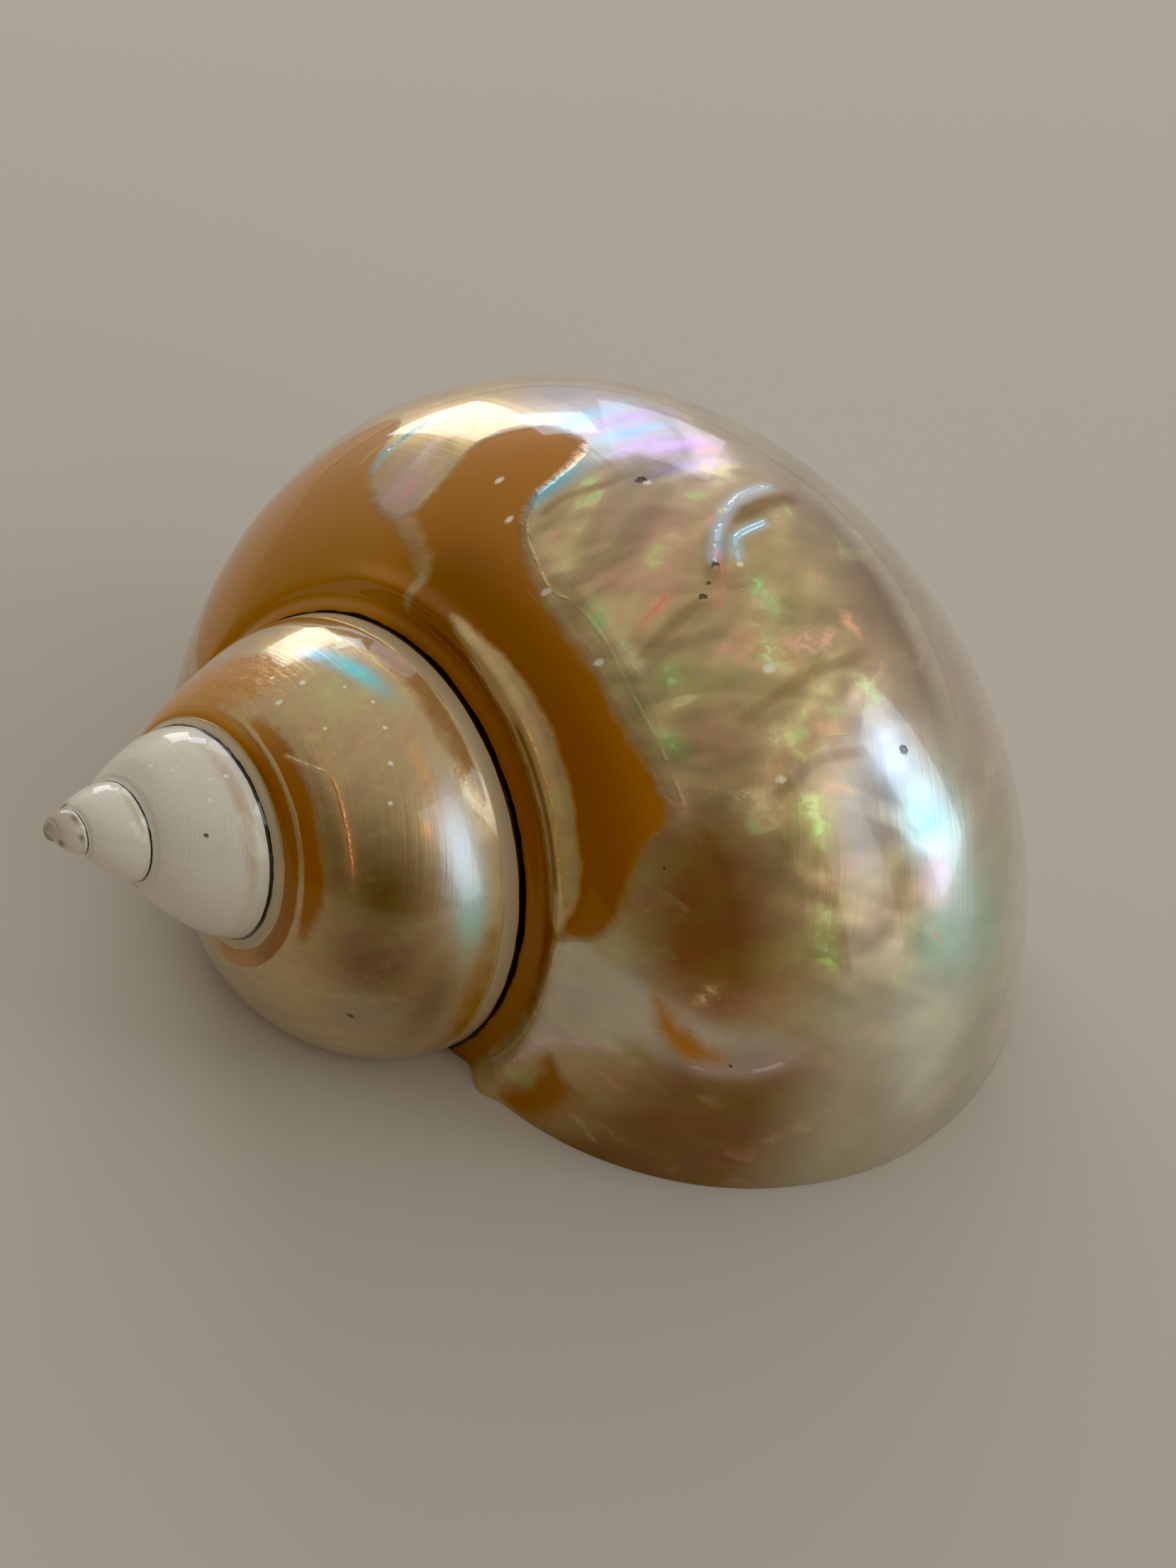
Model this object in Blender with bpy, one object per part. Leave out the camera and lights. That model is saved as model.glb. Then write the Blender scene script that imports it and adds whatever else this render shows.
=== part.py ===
"""A polished turban shell lying on its mouth: one grown, hollow piece. Metres, +Z up.

The shell is a tube that grows in a logarithmic spiral round an axis. Lengths across the tube are given for
the turn angle 0, where the mouth's lip meets the shoulder, and shrink by TURN_GROWTH for each turn towards
the apex. In the half plane at one turn angle, a point has a distance from the axis and a depth below the
apex.
"""

import math

import bmesh
import bpy
import numpy as np
from mathutils import Vector

MM = 0.001
FULL_TURN = 2.0 * math.pi

# Growth of the tube
TURN_GROWTH = 2.211
TUBE_CENTRE_RADIUS = 15.12 * MM
TUBE_CENTRE_DEPTH = 50.73 * MM
TUBE_HALF_WIDTH = 23.68 * MM
TUBE_TOP_HEIGHT = 24.79 * MM
TUBE_BASE_HEIGHT = 21.47 * MM
TUBE_TILT = math.radians(-3.26)
TOP_POWER = 1.843
BASE_POWER = 2.227

# How much flatter than the tube each whorl's side is, by turns counted from turn angle 0
FLATTENED_TURNS = (-3.5, -2.0, -1.5, -1.0, -0.5, 0.0)
FLATTENED_SHARES = (0.164, 0.214, 0.237, 0.061, -0.058, -0.003)

# Relief beside the seam between two whorls: a channel, then a rounded fold, placed by the share of the way
# down the whorl
CHANNEL_AT = 0.038
CHANNEL_WIDTH = 0.020
CHANNEL_DEPTH = 0.35 * MM
FOLD_AT = 0.085
FOLD_WIDTH = 0.022
FOLD_HEIGHT = 0.45 * MM
FOLD_STARTS = -2.45
FOLD_FADES_OVER = 0.5

# How the shell lies: the axis runs down from the apex, towards +X and +Y
AXIS_BEARING = math.radians(39.84)
AXIS_FALL = math.radians(26.85)
TURN_ZERO = math.radians(-44.77)
APEX = Vector((-30.04, -17.91, 21.99)) * MM

# The side that lies on the ground is pressed flat, softly where it is hidden
PRESSED_TURNS = (-6.45, -5.80, -3.40, -2.60)
PRESS_SOFTNESS = 0.7 * MM
PRESS_SOFTNESS_HIDDEN = 4.5 * MM
HIDDEN_MIDDLE = -4.70
HIDDEN_HALF_SPAN = 1.40
PRESS_DROP = 0.35

# The hollow
WALL = 1.9 * MM
WALL_SHRINK_POWER = 0.45
PILLAR_RADIUS = 1.7 * MM
FLOOR_WALL = 1.7 * MM
HOLLOW_TOP_OUTER_POWER = 1.65
HOLLOW_TOP_INNER_POWER = 1.35
HOLLOW_BASE_POWER = 1.9
HOLLOW_STARTS = -2.25 * FULL_TURN
HOLLOW_ENDS = 0.75
HOLLOW_STEPS = 84
HOLLOW_SIDES = 18

# Facets
STEPS_PER_TURN = 44
SPIRAL_TURNS = 4.6
TUBE_ENDS = 0.35
WHORL_SHARES = (0.0, 0.022, 0.04, 0.062, 0.085, 0.115, 0.17, 0.26, 0.37, 0.49, 0.62, 0.75, 0.88)
BASE_COLUMNS = 8
APEX_ROUNDING = 0.35
GROUND_CUTTER_SIDE = 200 * MM


def outline(angle):
    """The tube's outline: distance from the axis and depth below the apex, at turn angle 0.

    It is two half superellipses. The half towards the apex, at negative angles, is taller and more pointed.
    """
    cosine, sine = np.cos(angle), np.sin(angle)
    towards_apex = sine < 0.0
    power = 2.0 / np.where(towards_apex, TOP_POWER, BASE_POWER)
    height = np.where(towards_apex, TUBE_TOP_HEIGHT, TUBE_BASE_HEIGHT)
    across = TUBE_HALF_WIDTH * np.sign(cosine) * np.abs(cosine) ** power
    along = height * np.sign(sine) * np.abs(sine) ** power
    radius = TUBE_CENTRE_RADIUS + across * math.cos(TUBE_TILT) - along * math.sin(TUBE_TILT)
    depth = TUBE_CENTRE_DEPTH + across * math.sin(TUBE_TILT) + along * math.cos(TUBE_TILT)
    return radius, depth


def seam_angles():
    """The outline angles where a whorl meets the smaller one before it, on this whorl and on the smaller one.

    Newton's method on outline(top) = outline(bottom) / TURN_GROWTH.
    """
    step = 1e-6
    angles = np.array([-1.40, 0.36])

    def gap(top, bottom):
        here, before = outline(np.array(top)), outline(np.array(bottom))
        return np.array([here[0] - before[0] / TURN_GROWTH, here[1] - before[1] / TURN_GROWTH])

    for _ in range(20):
        now = gap(*angles)
        by_top = (gap(angles[0] + step, angles[1]) - now) / step
        by_bottom = (gap(angles[0], angles[1] + step) - now) / step
        angles = angles - np.linalg.solve(np.stack([by_top, by_bottom], axis=1), now)
    return float(angles[0]), float(angles[1])


def axis_angle():
    """The outline angle at which the base reaches the axis, by halving."""
    low, high = 0.5 * math.pi, math.pi
    for _ in range(50):
        middle = 0.5 * (low + high)
        if outline(np.array(middle))[0] > 0.0:
            low = middle
        else:
            high = middle
    return low


SEAM_TOP, SEAM_BOTTOM = seam_angles()
BASE_END = axis_angle()


def growth(turn):
    return TURN_GROWTH ** (turn / FULL_TURN)


def flattening(turn):
    return np.interp(turn / FULL_TURN, FLATTENED_TURNS, FLATTENED_SHARES)


def bump(value, middle, width):
    return np.exp(-(((value - middle) / width) ** 2))


def smooth_step(value, start, end):
    share = np.clip((value - start) / (end - start), 0.0, 1.0)
    return share * share * (3.0 - 2.0 * share)


def relief(turn, share):
    """Height of the channel and the fold beside the seam, at turn angle 0's size."""
    present = smooth_step(turn, FOLD_STARTS - FOLD_FADES_OVER, FOLD_STARTS)
    fold = FOLD_HEIGHT * bump(share, FOLD_AT, FOLD_WIDTH) * present
    channel = CHANNEL_DEPTH * bump(share, CHANNEL_AT, CHANNEL_WIDTH)
    return fold - channel


AXIS = Vector(
    (
        math.cos(AXIS_FALL) * math.cos(AXIS_BEARING),
        math.cos(AXIS_FALL) * math.sin(AXIS_BEARING),
        -math.sin(AXIS_FALL),
    )
)
DOWNWARDS = (Vector((0.0, 0.0, -1.0)) - AXIS * -AXIS.z).normalized()
SIDEWAYS = AXIS.cross(DOWNWARDS)
TURN_X = DOWNWARDS * math.cos(TURN_ZERO) + SIDEWAYS * math.sin(TURN_ZERO)
TURN_Y = AXIS.cross(TURN_X)


def placed(turn, radius, depth):
    """World points for a turn angle, a distance from the axis and a depth below the apex."""
    across_x = (radius * np.cos(turn))[..., None] * np.array(TURN_X)
    across_y = (radius * np.sin(turn))[..., None] * np.array(TURN_Y)
    return np.array(APEX) + across_x + across_y + depth[..., None] * np.array(AXIS)


def press_softness(turn):
    hidden = smooth_step(np.abs(turn - HIDDEN_MIDDLE), HIDDEN_HALF_SPAN, 0.0)
    return PRESS_SOFTNESS + (PRESS_SOFTNESS_HIDDEN - PRESS_SOFTNESS) * hidden


def pressed(points, turn, thickness, drop):
    """Bends what lies under the ground up to it.

    A height h becomes softness * log(1 + exp(h / softness)), less a drop that fades out above the ground, so
    that the lowest stretch is cut flat.
    """
    starts, full, still_full, ends = PRESSED_TURNS
    share = smooth_step(turn, starts, full) * (1.0 - smooth_step(turn, still_full, ends))
    softness = press_softness(turn)
    height = points[..., 2]
    above = (height - thickness) / softness
    bent = thickness + softness * (np.logaddexp(0.0, above) - drop * np.exp(-np.logaddexp(0.0, above)))
    result = points.copy()
    result[..., 2] = height + share * (bent - height)
    return result


def outer_points(turn, angle):
    """The outside of the shell. A whorl's own stretch is flattened and carries the relief; the base isn't."""
    radius, depth = outline(angle)
    share = np.clip((angle - SEAM_TOP) / (SEAM_BOTTOM - SEAM_TOP), 0.0, 1.0)
    swell = 1.0 - flattening(turn) * np.sin(math.pi * share) + relief(turn, share) / TUBE_HALF_WIDTH
    radius = TUBE_CENTRE_RADIUS + (radius - TUBE_CENTRE_RADIUS) * swell
    depth = TUBE_CENTRE_DEPTH + (depth - TUBE_CENTRE_DEPTH) * swell
    size = growth(turn)
    return pressed(placed(turn, size * radius, size * depth), turn, 0.0, PRESS_DROP)


def mesh_object(name, points, faces, collection, material=None):
    """A closed mesh object with its faces turned outwards."""
    shape = bmesh.new()
    corners = [shape.verts.new(point) for point in points]
    for face in faces:
        shape.faces.new([corners[index] for index in face])
    bmesh.ops.recalc_face_normals(shape, faces=shape.faces)
    if shape.calc_volume(signed=True) < 0.0:
        bmesh.ops.reverse_faces(shape, faces=shape.faces)
    mesh = bpy.data.meshes.new(name)
    shape.to_mesh(mesh)
    shape.free()
    if material:
        mesh.materials.append(material)
    result = bpy.data.objects.new(name, mesh)
    collection.objects.link(result)
    return result


def outer_solid(collection, material):
    """The whole outside as one closed mesh.

    Each row of points is one step of growth. The last column of a row is the first column of the row one turn
    later, so whorls share their seam. The last turn goes on over the base to the axis. A fan closes the apex,
    and another closes the tube's end, which lies under the ground.
    """
    rows = round(SPIRAL_TURNS * STEPS_PER_TURN)
    turns = TUBE_ENDS - (rows - np.arange(rows + 1)) * FULL_TURN / STEPS_PER_TURN
    whorl_angles = SEAM_TOP + np.array(WHORL_SHARES) * (SEAM_BOTTOM - SEAM_TOP)
    base_angles = np.linspace(SEAM_BOTTOM, BASE_END, BASE_COLUMNS + 1)
    columns = len(whorl_angles)
    base_start = rows - STEPS_PER_TURN

    turn_grid, angle_grid = np.meshgrid(turns, whorl_angles, indexing="ij")
    points = [tuple(point) for point in outer_points(turn_grid, angle_grid).reshape(-1, 3)]
    whorl_index = np.arange((rows + 1) * columns).reshape(rows + 1, columns)

    turn_grid, angle_grid = np.meshgrid(turns[base_start:], base_angles, indexing="ij")
    base_points = outer_points(turn_grid, angle_grid)
    base_index = np.zeros(base_points.shape[:2], dtype=int)
    base_index[0, 0] = whorl_index[rows, 0]
    for row, column in np.ndindex(base_index.shape):
        if (row, column) != (0, 0):
            base_index[row, column] = len(points)
            points.append(tuple(base_points[row, column]))

    def row_indices(row):
        """All the points along one row, from the seam above to the seam below, or to the axis."""
        if row < base_start:
            return [*whorl_index[row], whorl_index[row + STEPS_PER_TURN, 0]]
        return [*whorl_index[row], *base_index[row - base_start]]

    faces = []
    for row in range(rows):
        here, after = row_indices(row), row_indices(row + 1)
        if row + 1 == base_start:
            after = after[: len(here)]
        for corner in range(len(here) - 1):
            faces.append((here[corner], here[corner + 1], after[corner + 1], after[corner]))

    tip_depth = growth(turns[0]) * float(outline(np.array(SEAM_TOP))[1]) * APEX_ROUNDING
    tip = len(points)
    points.append(tuple(APEX + AXIS * tip_depth))
    apex_edge = [whorl_index[row, 0] for row in range(STEPS_PER_TURN + 1)]
    apex_edge += row_indices(0)[-2:0:-1]
    for corner, index in enumerate(apex_edge):
        faces.append((tip, index, apex_edge[(corner + 1) % len(apex_edge)]))

    middle = len(points)
    size = growth(turns[-1])
    end = placed(np.array(turns[-1]), np.array(size * TUBE_CENTRE_RADIUS), np.array(size * TUBE_CENTRE_DEPTH))
    points.append(tuple(end))
    end_edge = [*row_indices(rows), *base_index[-2:0:-1, -1], *base_index[0, :0:-1]]
    for corner, index in enumerate(end_edge):
        faces.append((middle, index, end_edge[(corner + 1) % len(end_edge)]))

    return mesh_object("turban_shell", points, faces, collection, material)


def hollow_cutter(collection):
    """The space inside: an oval tube that leaves a wall outside it and a pillar round the axis."""
    turns = np.linspace(HOLLOW_STARTS, HOLLOW_ENDS, HOLLOW_STEPS)
    around = np.linspace(0.0, FULL_TURN, HOLLOW_SIDES, endpoint=False)
    turn, angle = np.meshgrid(turns, around, indexing="ij")
    size = growth(turn)
    wall = WALL * size**WALL_SHRINK_POWER / size
    shrink = 1.0 - np.clip(flattening(turn), 0.0, 1.0)
    far = TUBE_CENTRE_RADIUS + (TUBE_HALF_WIDTH - wall) * shrink
    top = TUBE_CENTRE_DEPTH - (TUBE_TOP_HEIGHT - wall) * shrink
    bottom = TUBE_CENTRE_DEPTH + (TUBE_BASE_HEIGHT - wall) * shrink
    top_power = np.where(np.cos(angle) > 0.0, HOLLOW_TOP_OUTER_POWER, HOLLOW_TOP_INNER_POWER)
    power = 2.0 / np.where(np.sin(angle) < 0.0, top_power, HOLLOW_BASE_POWER)
    across = np.sign(np.cos(angle)) * np.abs(np.cos(angle)) ** power
    along = np.sign(np.sin(angle)) * np.abs(np.sin(angle)) ** power
    radius = 0.5 * (far + PILLAR_RADIUS) + 0.5 * (far - PILLAR_RADIUS) * across
    depth = 0.5 * (top + bottom) + 0.5 * (bottom - top) * along
    rings = pressed(placed(turn, size * radius, size * depth), turn, FLOOR_WALL, 0.0)
    points = [tuple(point) for point in rings.reshape(-1, 3)]
    index = np.arange(HOLLOW_STEPS * HOLLOW_SIDES).reshape(HOLLOW_STEPS, HOLLOW_SIDES)
    faces = []
    for row, side in np.ndindex(HOLLOW_STEPS - 1, HOLLOW_SIDES):
        beside = (side + 1) % HOLLOW_SIDES
        faces.append((index[row, side], index[row, beside], index[row + 1, beside], index[row + 1, side]))
    for row in (0, HOLLOW_STEPS - 1):
        middle = len(points)
        points.append(tuple(rings[row].mean(axis=0)))
        for side in range(HOLLOW_SIDES):
            faces.append((middle, index[row, side], index[row, (side + 1) % HOLLOW_SIDES]))
    return mesh_object("hollow_cutter", points, faces, collection)


def ground_cutter(collection):
    """Everything under the ground plane."""
    bpy.ops.mesh.primitive_cube_add(size=GROUND_CUTTER_SIDE, location=(0.0, 0.0, -0.5 * GROUND_CUTTER_SIDE))
    cutter = bpy.context.object
    cutter.name = "ground_cutter"
    for owner in cutter.users_collection:
        owner.objects.unlink(cutter)
    collection.objects.link(cutter)
    return cutter


def cut(target, cutter):
    cutter.hide_render = True
    cutter.display_type = "WIRE"
    boolean = target.modifiers.new("without_" + cutter.name, "BOOLEAN")
    boolean.operation = "DIFFERENCE"
    boolean.solver = "EXACT"
    boolean.object = cutter


def nacre_material():
    material = bpy.data.materials.new("nacre")
    material.use_nodes = True
    shader = material.node_tree.nodes["Principled BSDF"]
    shader.inputs["Base Color"].default_value = (0.62, 0.49, 0.33, 1.0)
    shader.inputs["Roughness"].default_value = 0.18
    shader.inputs["Metallic"].default_value = 0.0
    shader.inputs["Coat Weight"].default_value = 0.6
    return material


def main():
    for old in list(bpy.data.objects):
        bpy.data.objects.remove(old, do_unlink=True)
    parts = bpy.data.collections.new("turban shell")
    cutters = bpy.data.collections.new("cutters")
    for collection in (parts, cutters):
        bpy.context.scene.collection.children.link(collection)

    shell = outer_solid(parts, nacre_material())
    shell.data.shade_smooth()
    cut(shell, hollow_cutter(cutters))
    cut(shell, ground_cutter(cutters))


main()
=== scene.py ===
"""The looks of a polished turban shell: mother-of-pearl with amber patches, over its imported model.

Metres, +Z up. Every point of the shell has a turn angle round the spiral and a share of the way down its
whorl: 0 at the seam above and 1 at the seam below. On the last whorl, shares over 1 go on over the base. Both
are kept in the shell's UV map, and the marks of the real shell are placed by them.
"""

import math

import bmesh
import bpy
import numpy as np
from mathutils import Matrix, Vector


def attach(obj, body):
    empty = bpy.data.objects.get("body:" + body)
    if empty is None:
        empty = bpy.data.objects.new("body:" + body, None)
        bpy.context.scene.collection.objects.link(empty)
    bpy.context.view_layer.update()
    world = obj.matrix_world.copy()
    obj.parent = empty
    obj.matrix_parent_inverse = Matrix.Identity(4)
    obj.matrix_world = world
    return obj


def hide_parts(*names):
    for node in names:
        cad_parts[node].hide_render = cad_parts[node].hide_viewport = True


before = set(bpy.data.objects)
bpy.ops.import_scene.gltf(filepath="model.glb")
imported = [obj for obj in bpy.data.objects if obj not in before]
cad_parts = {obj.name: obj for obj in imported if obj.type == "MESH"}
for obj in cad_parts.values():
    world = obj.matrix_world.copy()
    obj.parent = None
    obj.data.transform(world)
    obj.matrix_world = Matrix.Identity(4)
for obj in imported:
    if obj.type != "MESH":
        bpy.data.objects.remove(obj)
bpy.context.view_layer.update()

MM = 0.001
FULL_TURN = 2.0 * math.pi

# The spiral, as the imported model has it
TURN_GROWTH = 2.211
TUBE_CENTRE_RADIUS = 15.12 * MM
TUBE_CENTRE_DEPTH = 50.73 * MM
TUBE_HALF_WIDTH = 23.68 * MM
TUBE_TOP_HEIGHT = 24.79 * MM
TUBE_BASE_HEIGHT = 21.47 * MM
TUBE_TILT = math.radians(-3.26)
TOP_POWER = 1.843
BASE_POWER = 2.227
FLATTENED_TURNS = (-3.5, -2.0, -1.5, -1.0, -0.5, 0.0)
FLATTENED_SHARES = (0.164, 0.214, 0.237, 0.061, -0.058, -0.003)
CHANNEL_AT = 0.038
CHANNEL_WIDTH = 0.020
CHANNEL_DEPTH = 0.35 * MM
FOLD_AT = 0.085
FOLD_WIDTH = 0.022
FOLD_HEIGHT = 0.45 * MM
FOLD_STARTS = -2.45
FOLD_FADES_OVER = 0.5
RIPPLE_HEIGHT = 0.035 * MM
RIPPLES = ((0.5, 9.0, 7.0, 1.3), (0.35, -13.0, 15.0, 0.4), (0.25, 21.0, 11.0, 2.2))
RIPPLES_BEGIN = (0.12, 0.3)
RIPPLES_END = 0.15
AXIS_BEARING = math.radians(39.84)
AXIS_FALL = math.radians(26.85)
TURN_ZERO = math.radians(-44.77)
APEX = np.array((-30.04, -17.91, 21.99)) * MM
TIP_ROUNDING = 1.0 * MM
TIP_RISE = 0.3 * MM
TIP_REACH = 2.5 * MM
PRESSED_TURNS = (-6.45, -5.80, -3.40, -2.60)
PRESS_SOFTNESS = 0.7 * MM
PRESS_SOFTNESS_HIDDEN = 4.5 * MM
HIDDEN_MIDDLE = -4.70
HIDDEN_HALF_SPAN = 1.40
PRESS_DROP = 0.35
WALL = 1.9 * MM
WALL_SHRINK_POWER = 0.45
PILLAR_RADIUS = 1.7 * MM
FLOOR_WALL = 1.7 * MM
HOLLOW_TOP_OUTER_POWER = 1.65
HOLLOW_TOP_INNER_POWER = 1.35
HOLLOW_BASE_POWER = 1.9
HOLLOW_STARTS = -2.25 * FULL_TURN
HOLLOW_ENDS = 0.75

# How the outline angles of the seam and of the axis are searched for
SEAM_GUESS = (-1.40, 0.36)
SEAM_ROUNDS = 20
SEARCH_STEP = 1e-6
AXIS_HALVINGS = 50

# How fine the mesh is
STEPS_PER_TURN = 320
SPIRAL_TURNS = 5.0
TUBE_ENDS = 0.35
WHORL_COLUMNS = 104
COLUMN_SPREAD = 0.35
HALVED_BEFORE = -6.4
QUARTERED_BEFORE = -14.0
BASE_COLUMNS = 30
APEX_ROUNDING = 0.35
HOLLOW_STEPS = 250
HOLLOW_SIDES = 44
INSIDE_SHARE = 3.0
GROUND_SIDE = 200 * MM
SHARP_ANGLE = math.radians(40)
CUT_FLAT = 0.9999


def linear(red, green, blue):
    """A screen colour, 0 to 255, as the linear numbers that a shader takes."""
    screen = np.array((red, green, blue)) / 255.0
    return tuple(np.where(screen <= 0.04045, screen / 12.92, ((screen + 0.055) / 1.055) ** 2.4))


def smooth_step(value, start, end):
    """0 before start, 1 after end, and 3 x^2 - 2 x^3 between them."""
    share = np.clip((value - start) / (end - start), 0.0, 1.0)
    return share * share * (3.0 - 2.0 * share)


def bump(value, middle, width):
    """A bell: exp(-((value - middle) / width)^2)."""
    return np.exp(-(((value - middle) / width) ** 2))


def outline(angle):
    """The tube's outline at turn angle 0: distance from the axis and depth below the apex.

    Two half superellipses, across = W |cos|^(2/p) and along = H |sin|^(2/p), leaned by TUBE_TILT. The half
    towards the apex, at negative angles, is taller and more pointed.
    """
    cosine, sine = np.cos(angle), np.sin(angle)
    power = 2.0 / np.where(sine < 0.0, TOP_POWER, BASE_POWER)
    height = np.where(sine < 0.0, TUBE_TOP_HEIGHT, TUBE_BASE_HEIGHT)
    across = TUBE_HALF_WIDTH * np.sign(cosine) * np.abs(cosine) ** power
    along = height * np.sign(sine) * np.abs(sine) ** power
    radius = TUBE_CENTRE_RADIUS + across * math.cos(TUBE_TILT) - along * math.sin(TUBE_TILT)
    depth = TUBE_CENTRE_DEPTH + across * math.sin(TUBE_TILT) + along * math.cos(TUBE_TILT)
    return radius, depth


def seam_angles():
    """The outline angles where a whorl meets the smaller one before it, on this whorl and on the smaller one.

    Newton's method on outline(top) = outline(bottom) / TURN_GROWTH.
    """
    step = SEARCH_STEP
    angles = np.array(SEAM_GUESS)

    def gap(top, bottom):
        here, before = outline(np.array(top)), outline(np.array(bottom))
        return np.array([here[0] - before[0] / TURN_GROWTH, here[1] - before[1] / TURN_GROWTH])

    for _ in range(SEAM_ROUNDS):
        now = gap(*angles)
        by_top = (gap(angles[0] + step, angles[1]) - now) / step
        by_bottom = (gap(angles[0], angles[1] + step) - now) / step
        angles = angles - np.linalg.solve(np.stack([by_top, by_bottom], axis=1), now)
    return float(angles[0]), float(angles[1])


def axis_angle():
    """The outline angle at which the base reaches the axis, by halving."""
    low, high = 0.5 * math.pi, math.pi
    for _ in range(AXIS_HALVINGS):
        middle = 0.5 * (low + high)
        if outline(np.array(middle))[0] > 0.0:
            low = middle
        else:
            high = middle
    return low


SEAM_TOP, SEAM_BOTTOM = seam_angles()
BASE_END = axis_angle()
AXIS = np.array(
    (
        math.cos(AXIS_FALL) * math.cos(AXIS_BEARING),
        math.cos(AXIS_FALL) * math.sin(AXIS_BEARING),
        -math.sin(AXIS_FALL),
    )
)
LEVEL = np.array((0.0, 0.0, -1.0)) + AXIS * AXIS[2]
DOWNWARDS = LEVEL / np.linalg.norm(LEVEL)
SIDEWAYS = np.cross(AXIS, DOWNWARDS)
TURN_X = DOWNWARDS * math.cos(TURN_ZERO) + SIDEWAYS * math.sin(TURN_ZERO)
TURN_Y = np.cross(AXIS, TURN_X)


def growth(turn):
    """The spiral's size against turn angle 0: the growth of one turn to the power of the turns."""
    return TURN_GROWTH ** (turn / FULL_TURN)


def flattening(turn):
    """How far a whorl's side is drawn in, in straight lines between a few turns."""
    return np.interp(turn / FULL_TURN, FLATTENED_TURNS, FLATTENED_SHARES)


def relief(turn, share):
    """Height of the channel and the fold beside the seam, at turn angle 0's size."""
    present = smooth_step(turn, FOLD_STARTS - FOLD_FADES_OVER, FOLD_STARTS)
    fold = FOLD_HEIGHT * bump(share, FOLD_AT, FOLD_WIDTH) * present
    channel = CHANNEL_DEPTH * bump(share, CHANNEL_AT, CHANNEL_WIDTH)
    return fold - channel


def ripples(turn, share):
    """Height of the slow waves that polishing leaves: three leaning sines that fade out at the seams."""
    waves = 0.0
    for part, by_turn, by_share, phase in RIPPLES:
        waves = waves + part * np.sin(by_turn * turn + by_share * share + phase)
    fading = smooth_step(share, *RIPPLES_BEGIN) * smooth_step(np.abs(share - 1.0), 0.0, RIPPLES_END)
    return RIPPLE_HEIGHT * waves * fading


def placed(turn, radius, depth):
    """World points: apex + radius (cos turn X + sin turn Y) + depth along the axis."""
    across_x = (radius * np.cos(turn))[..., None] * TURN_X
    across_y = (radius * np.sin(turn))[..., None] * TURN_Y
    return APEX + across_x + across_y + depth[..., None] * AXIS


def worn(depth):
    """A depth d on the worn tip: sqrt(d^2 + rounding^2) - (rounding + rise) exp(-(d / reach)^2)."""
    return np.hypot(depth, TIP_ROUNDING) - (TIP_ROUNDING + TIP_RISE) * np.exp(-((depth / TIP_REACH) ** 2))


def pressed(points, turn, thickness, drop):
    """Bends what lies under the ground up to it.

    A height h becomes softness * log(1 + exp(h / softness)), less a drop that fades out above the ground, so
    that the lowest stretch is cut flat.
    """
    starts, full, still_full, ends = PRESSED_TURNS
    share = smooth_step(turn, starts, full) * (1.0 - smooth_step(turn, still_full, ends))
    hidden = smooth_step(np.abs(turn - HIDDEN_MIDDLE), HIDDEN_HALF_SPAN, 0.0)
    softness = PRESS_SOFTNESS + (PRESS_SOFTNESS_HIDDEN - PRESS_SOFTNESS) * hidden
    height = points[..., 2]
    above = (height - thickness) / softness
    bent = thickness + softness * (np.logaddexp(0.0, above) - drop * np.exp(-np.logaddexp(0.0, above)))
    result = points.copy()
    result[..., 2] = height + share * (bent - height)
    return result


def outer_points(turn, angle):
    """The outside: the outline, flattened on a whorl's own stretch, with its relief, grown and placed."""
    radius, depth = outline(angle)
    share = np.clip((angle - SEAM_TOP) / (SEAM_BOTTOM - SEAM_TOP), 0.0, 1.0)
    height = relief(turn, share) + ripples(turn, share)
    swell = 1.0 - flattening(turn) * np.sin(math.pi * share) + height / TUBE_HALF_WIDTH
    radius = TUBE_CENTRE_RADIUS + (radius - TUBE_CENTRE_RADIUS) * swell
    depth = TUBE_CENTRE_DEPTH + (depth - TUBE_CENTRE_DEPTH) * swell
    size = growth(turn)
    return pressed(placed(turn, size * radius, worn(size * depth)), turn, 0.0, PRESS_DROP)


def inner_points(turn, angle):
    """The hollow: an oval tube of superellipses that leaves a wall outside it and a pillar at the axis."""
    size = growth(turn)
    wall = WALL * size**WALL_SHRINK_POWER / size
    shrink = 1.0 - np.clip(flattening(turn), 0.0, 1.0)
    far = TUBE_CENTRE_RADIUS + (TUBE_HALF_WIDTH - wall) * shrink
    top = TUBE_CENTRE_DEPTH - (TUBE_TOP_HEIGHT - wall) * shrink
    bottom = TUBE_CENTRE_DEPTH + (TUBE_BASE_HEIGHT - wall) * shrink
    top_power = np.where(np.cos(angle) > 0.0, HOLLOW_TOP_OUTER_POWER, HOLLOW_TOP_INNER_POWER)
    power = 2.0 / np.where(np.sin(angle) < 0.0, top_power, HOLLOW_BASE_POWER)
    across = np.sign(np.cos(angle)) * np.abs(np.cos(angle)) ** power
    along = np.sign(np.sin(angle)) * np.abs(np.sin(angle)) ** power
    radius = 0.5 * (far + PILLAR_RADIUS) + 0.5 * (far - PILLAR_RADIUS) * across
    depth = 0.5 * (top + bottom) + 0.5 * (bottom - top) * along
    return pressed(placed(turn, size * radius, size * depth), turn, FLOOR_WALL, 0.0)


def angle_at(share):
    """The outline angle for a share of the way down: to the seam below at 1, and to the axis at 2."""
    on_whorl = SEAM_TOP + np.minimum(share, 1.0) * (SEAM_BOTTOM - SEAM_TOP)
    return on_whorl + np.maximum(share - 1.0, 0.0) * (BASE_END - SEAM_BOTTOM)


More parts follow.
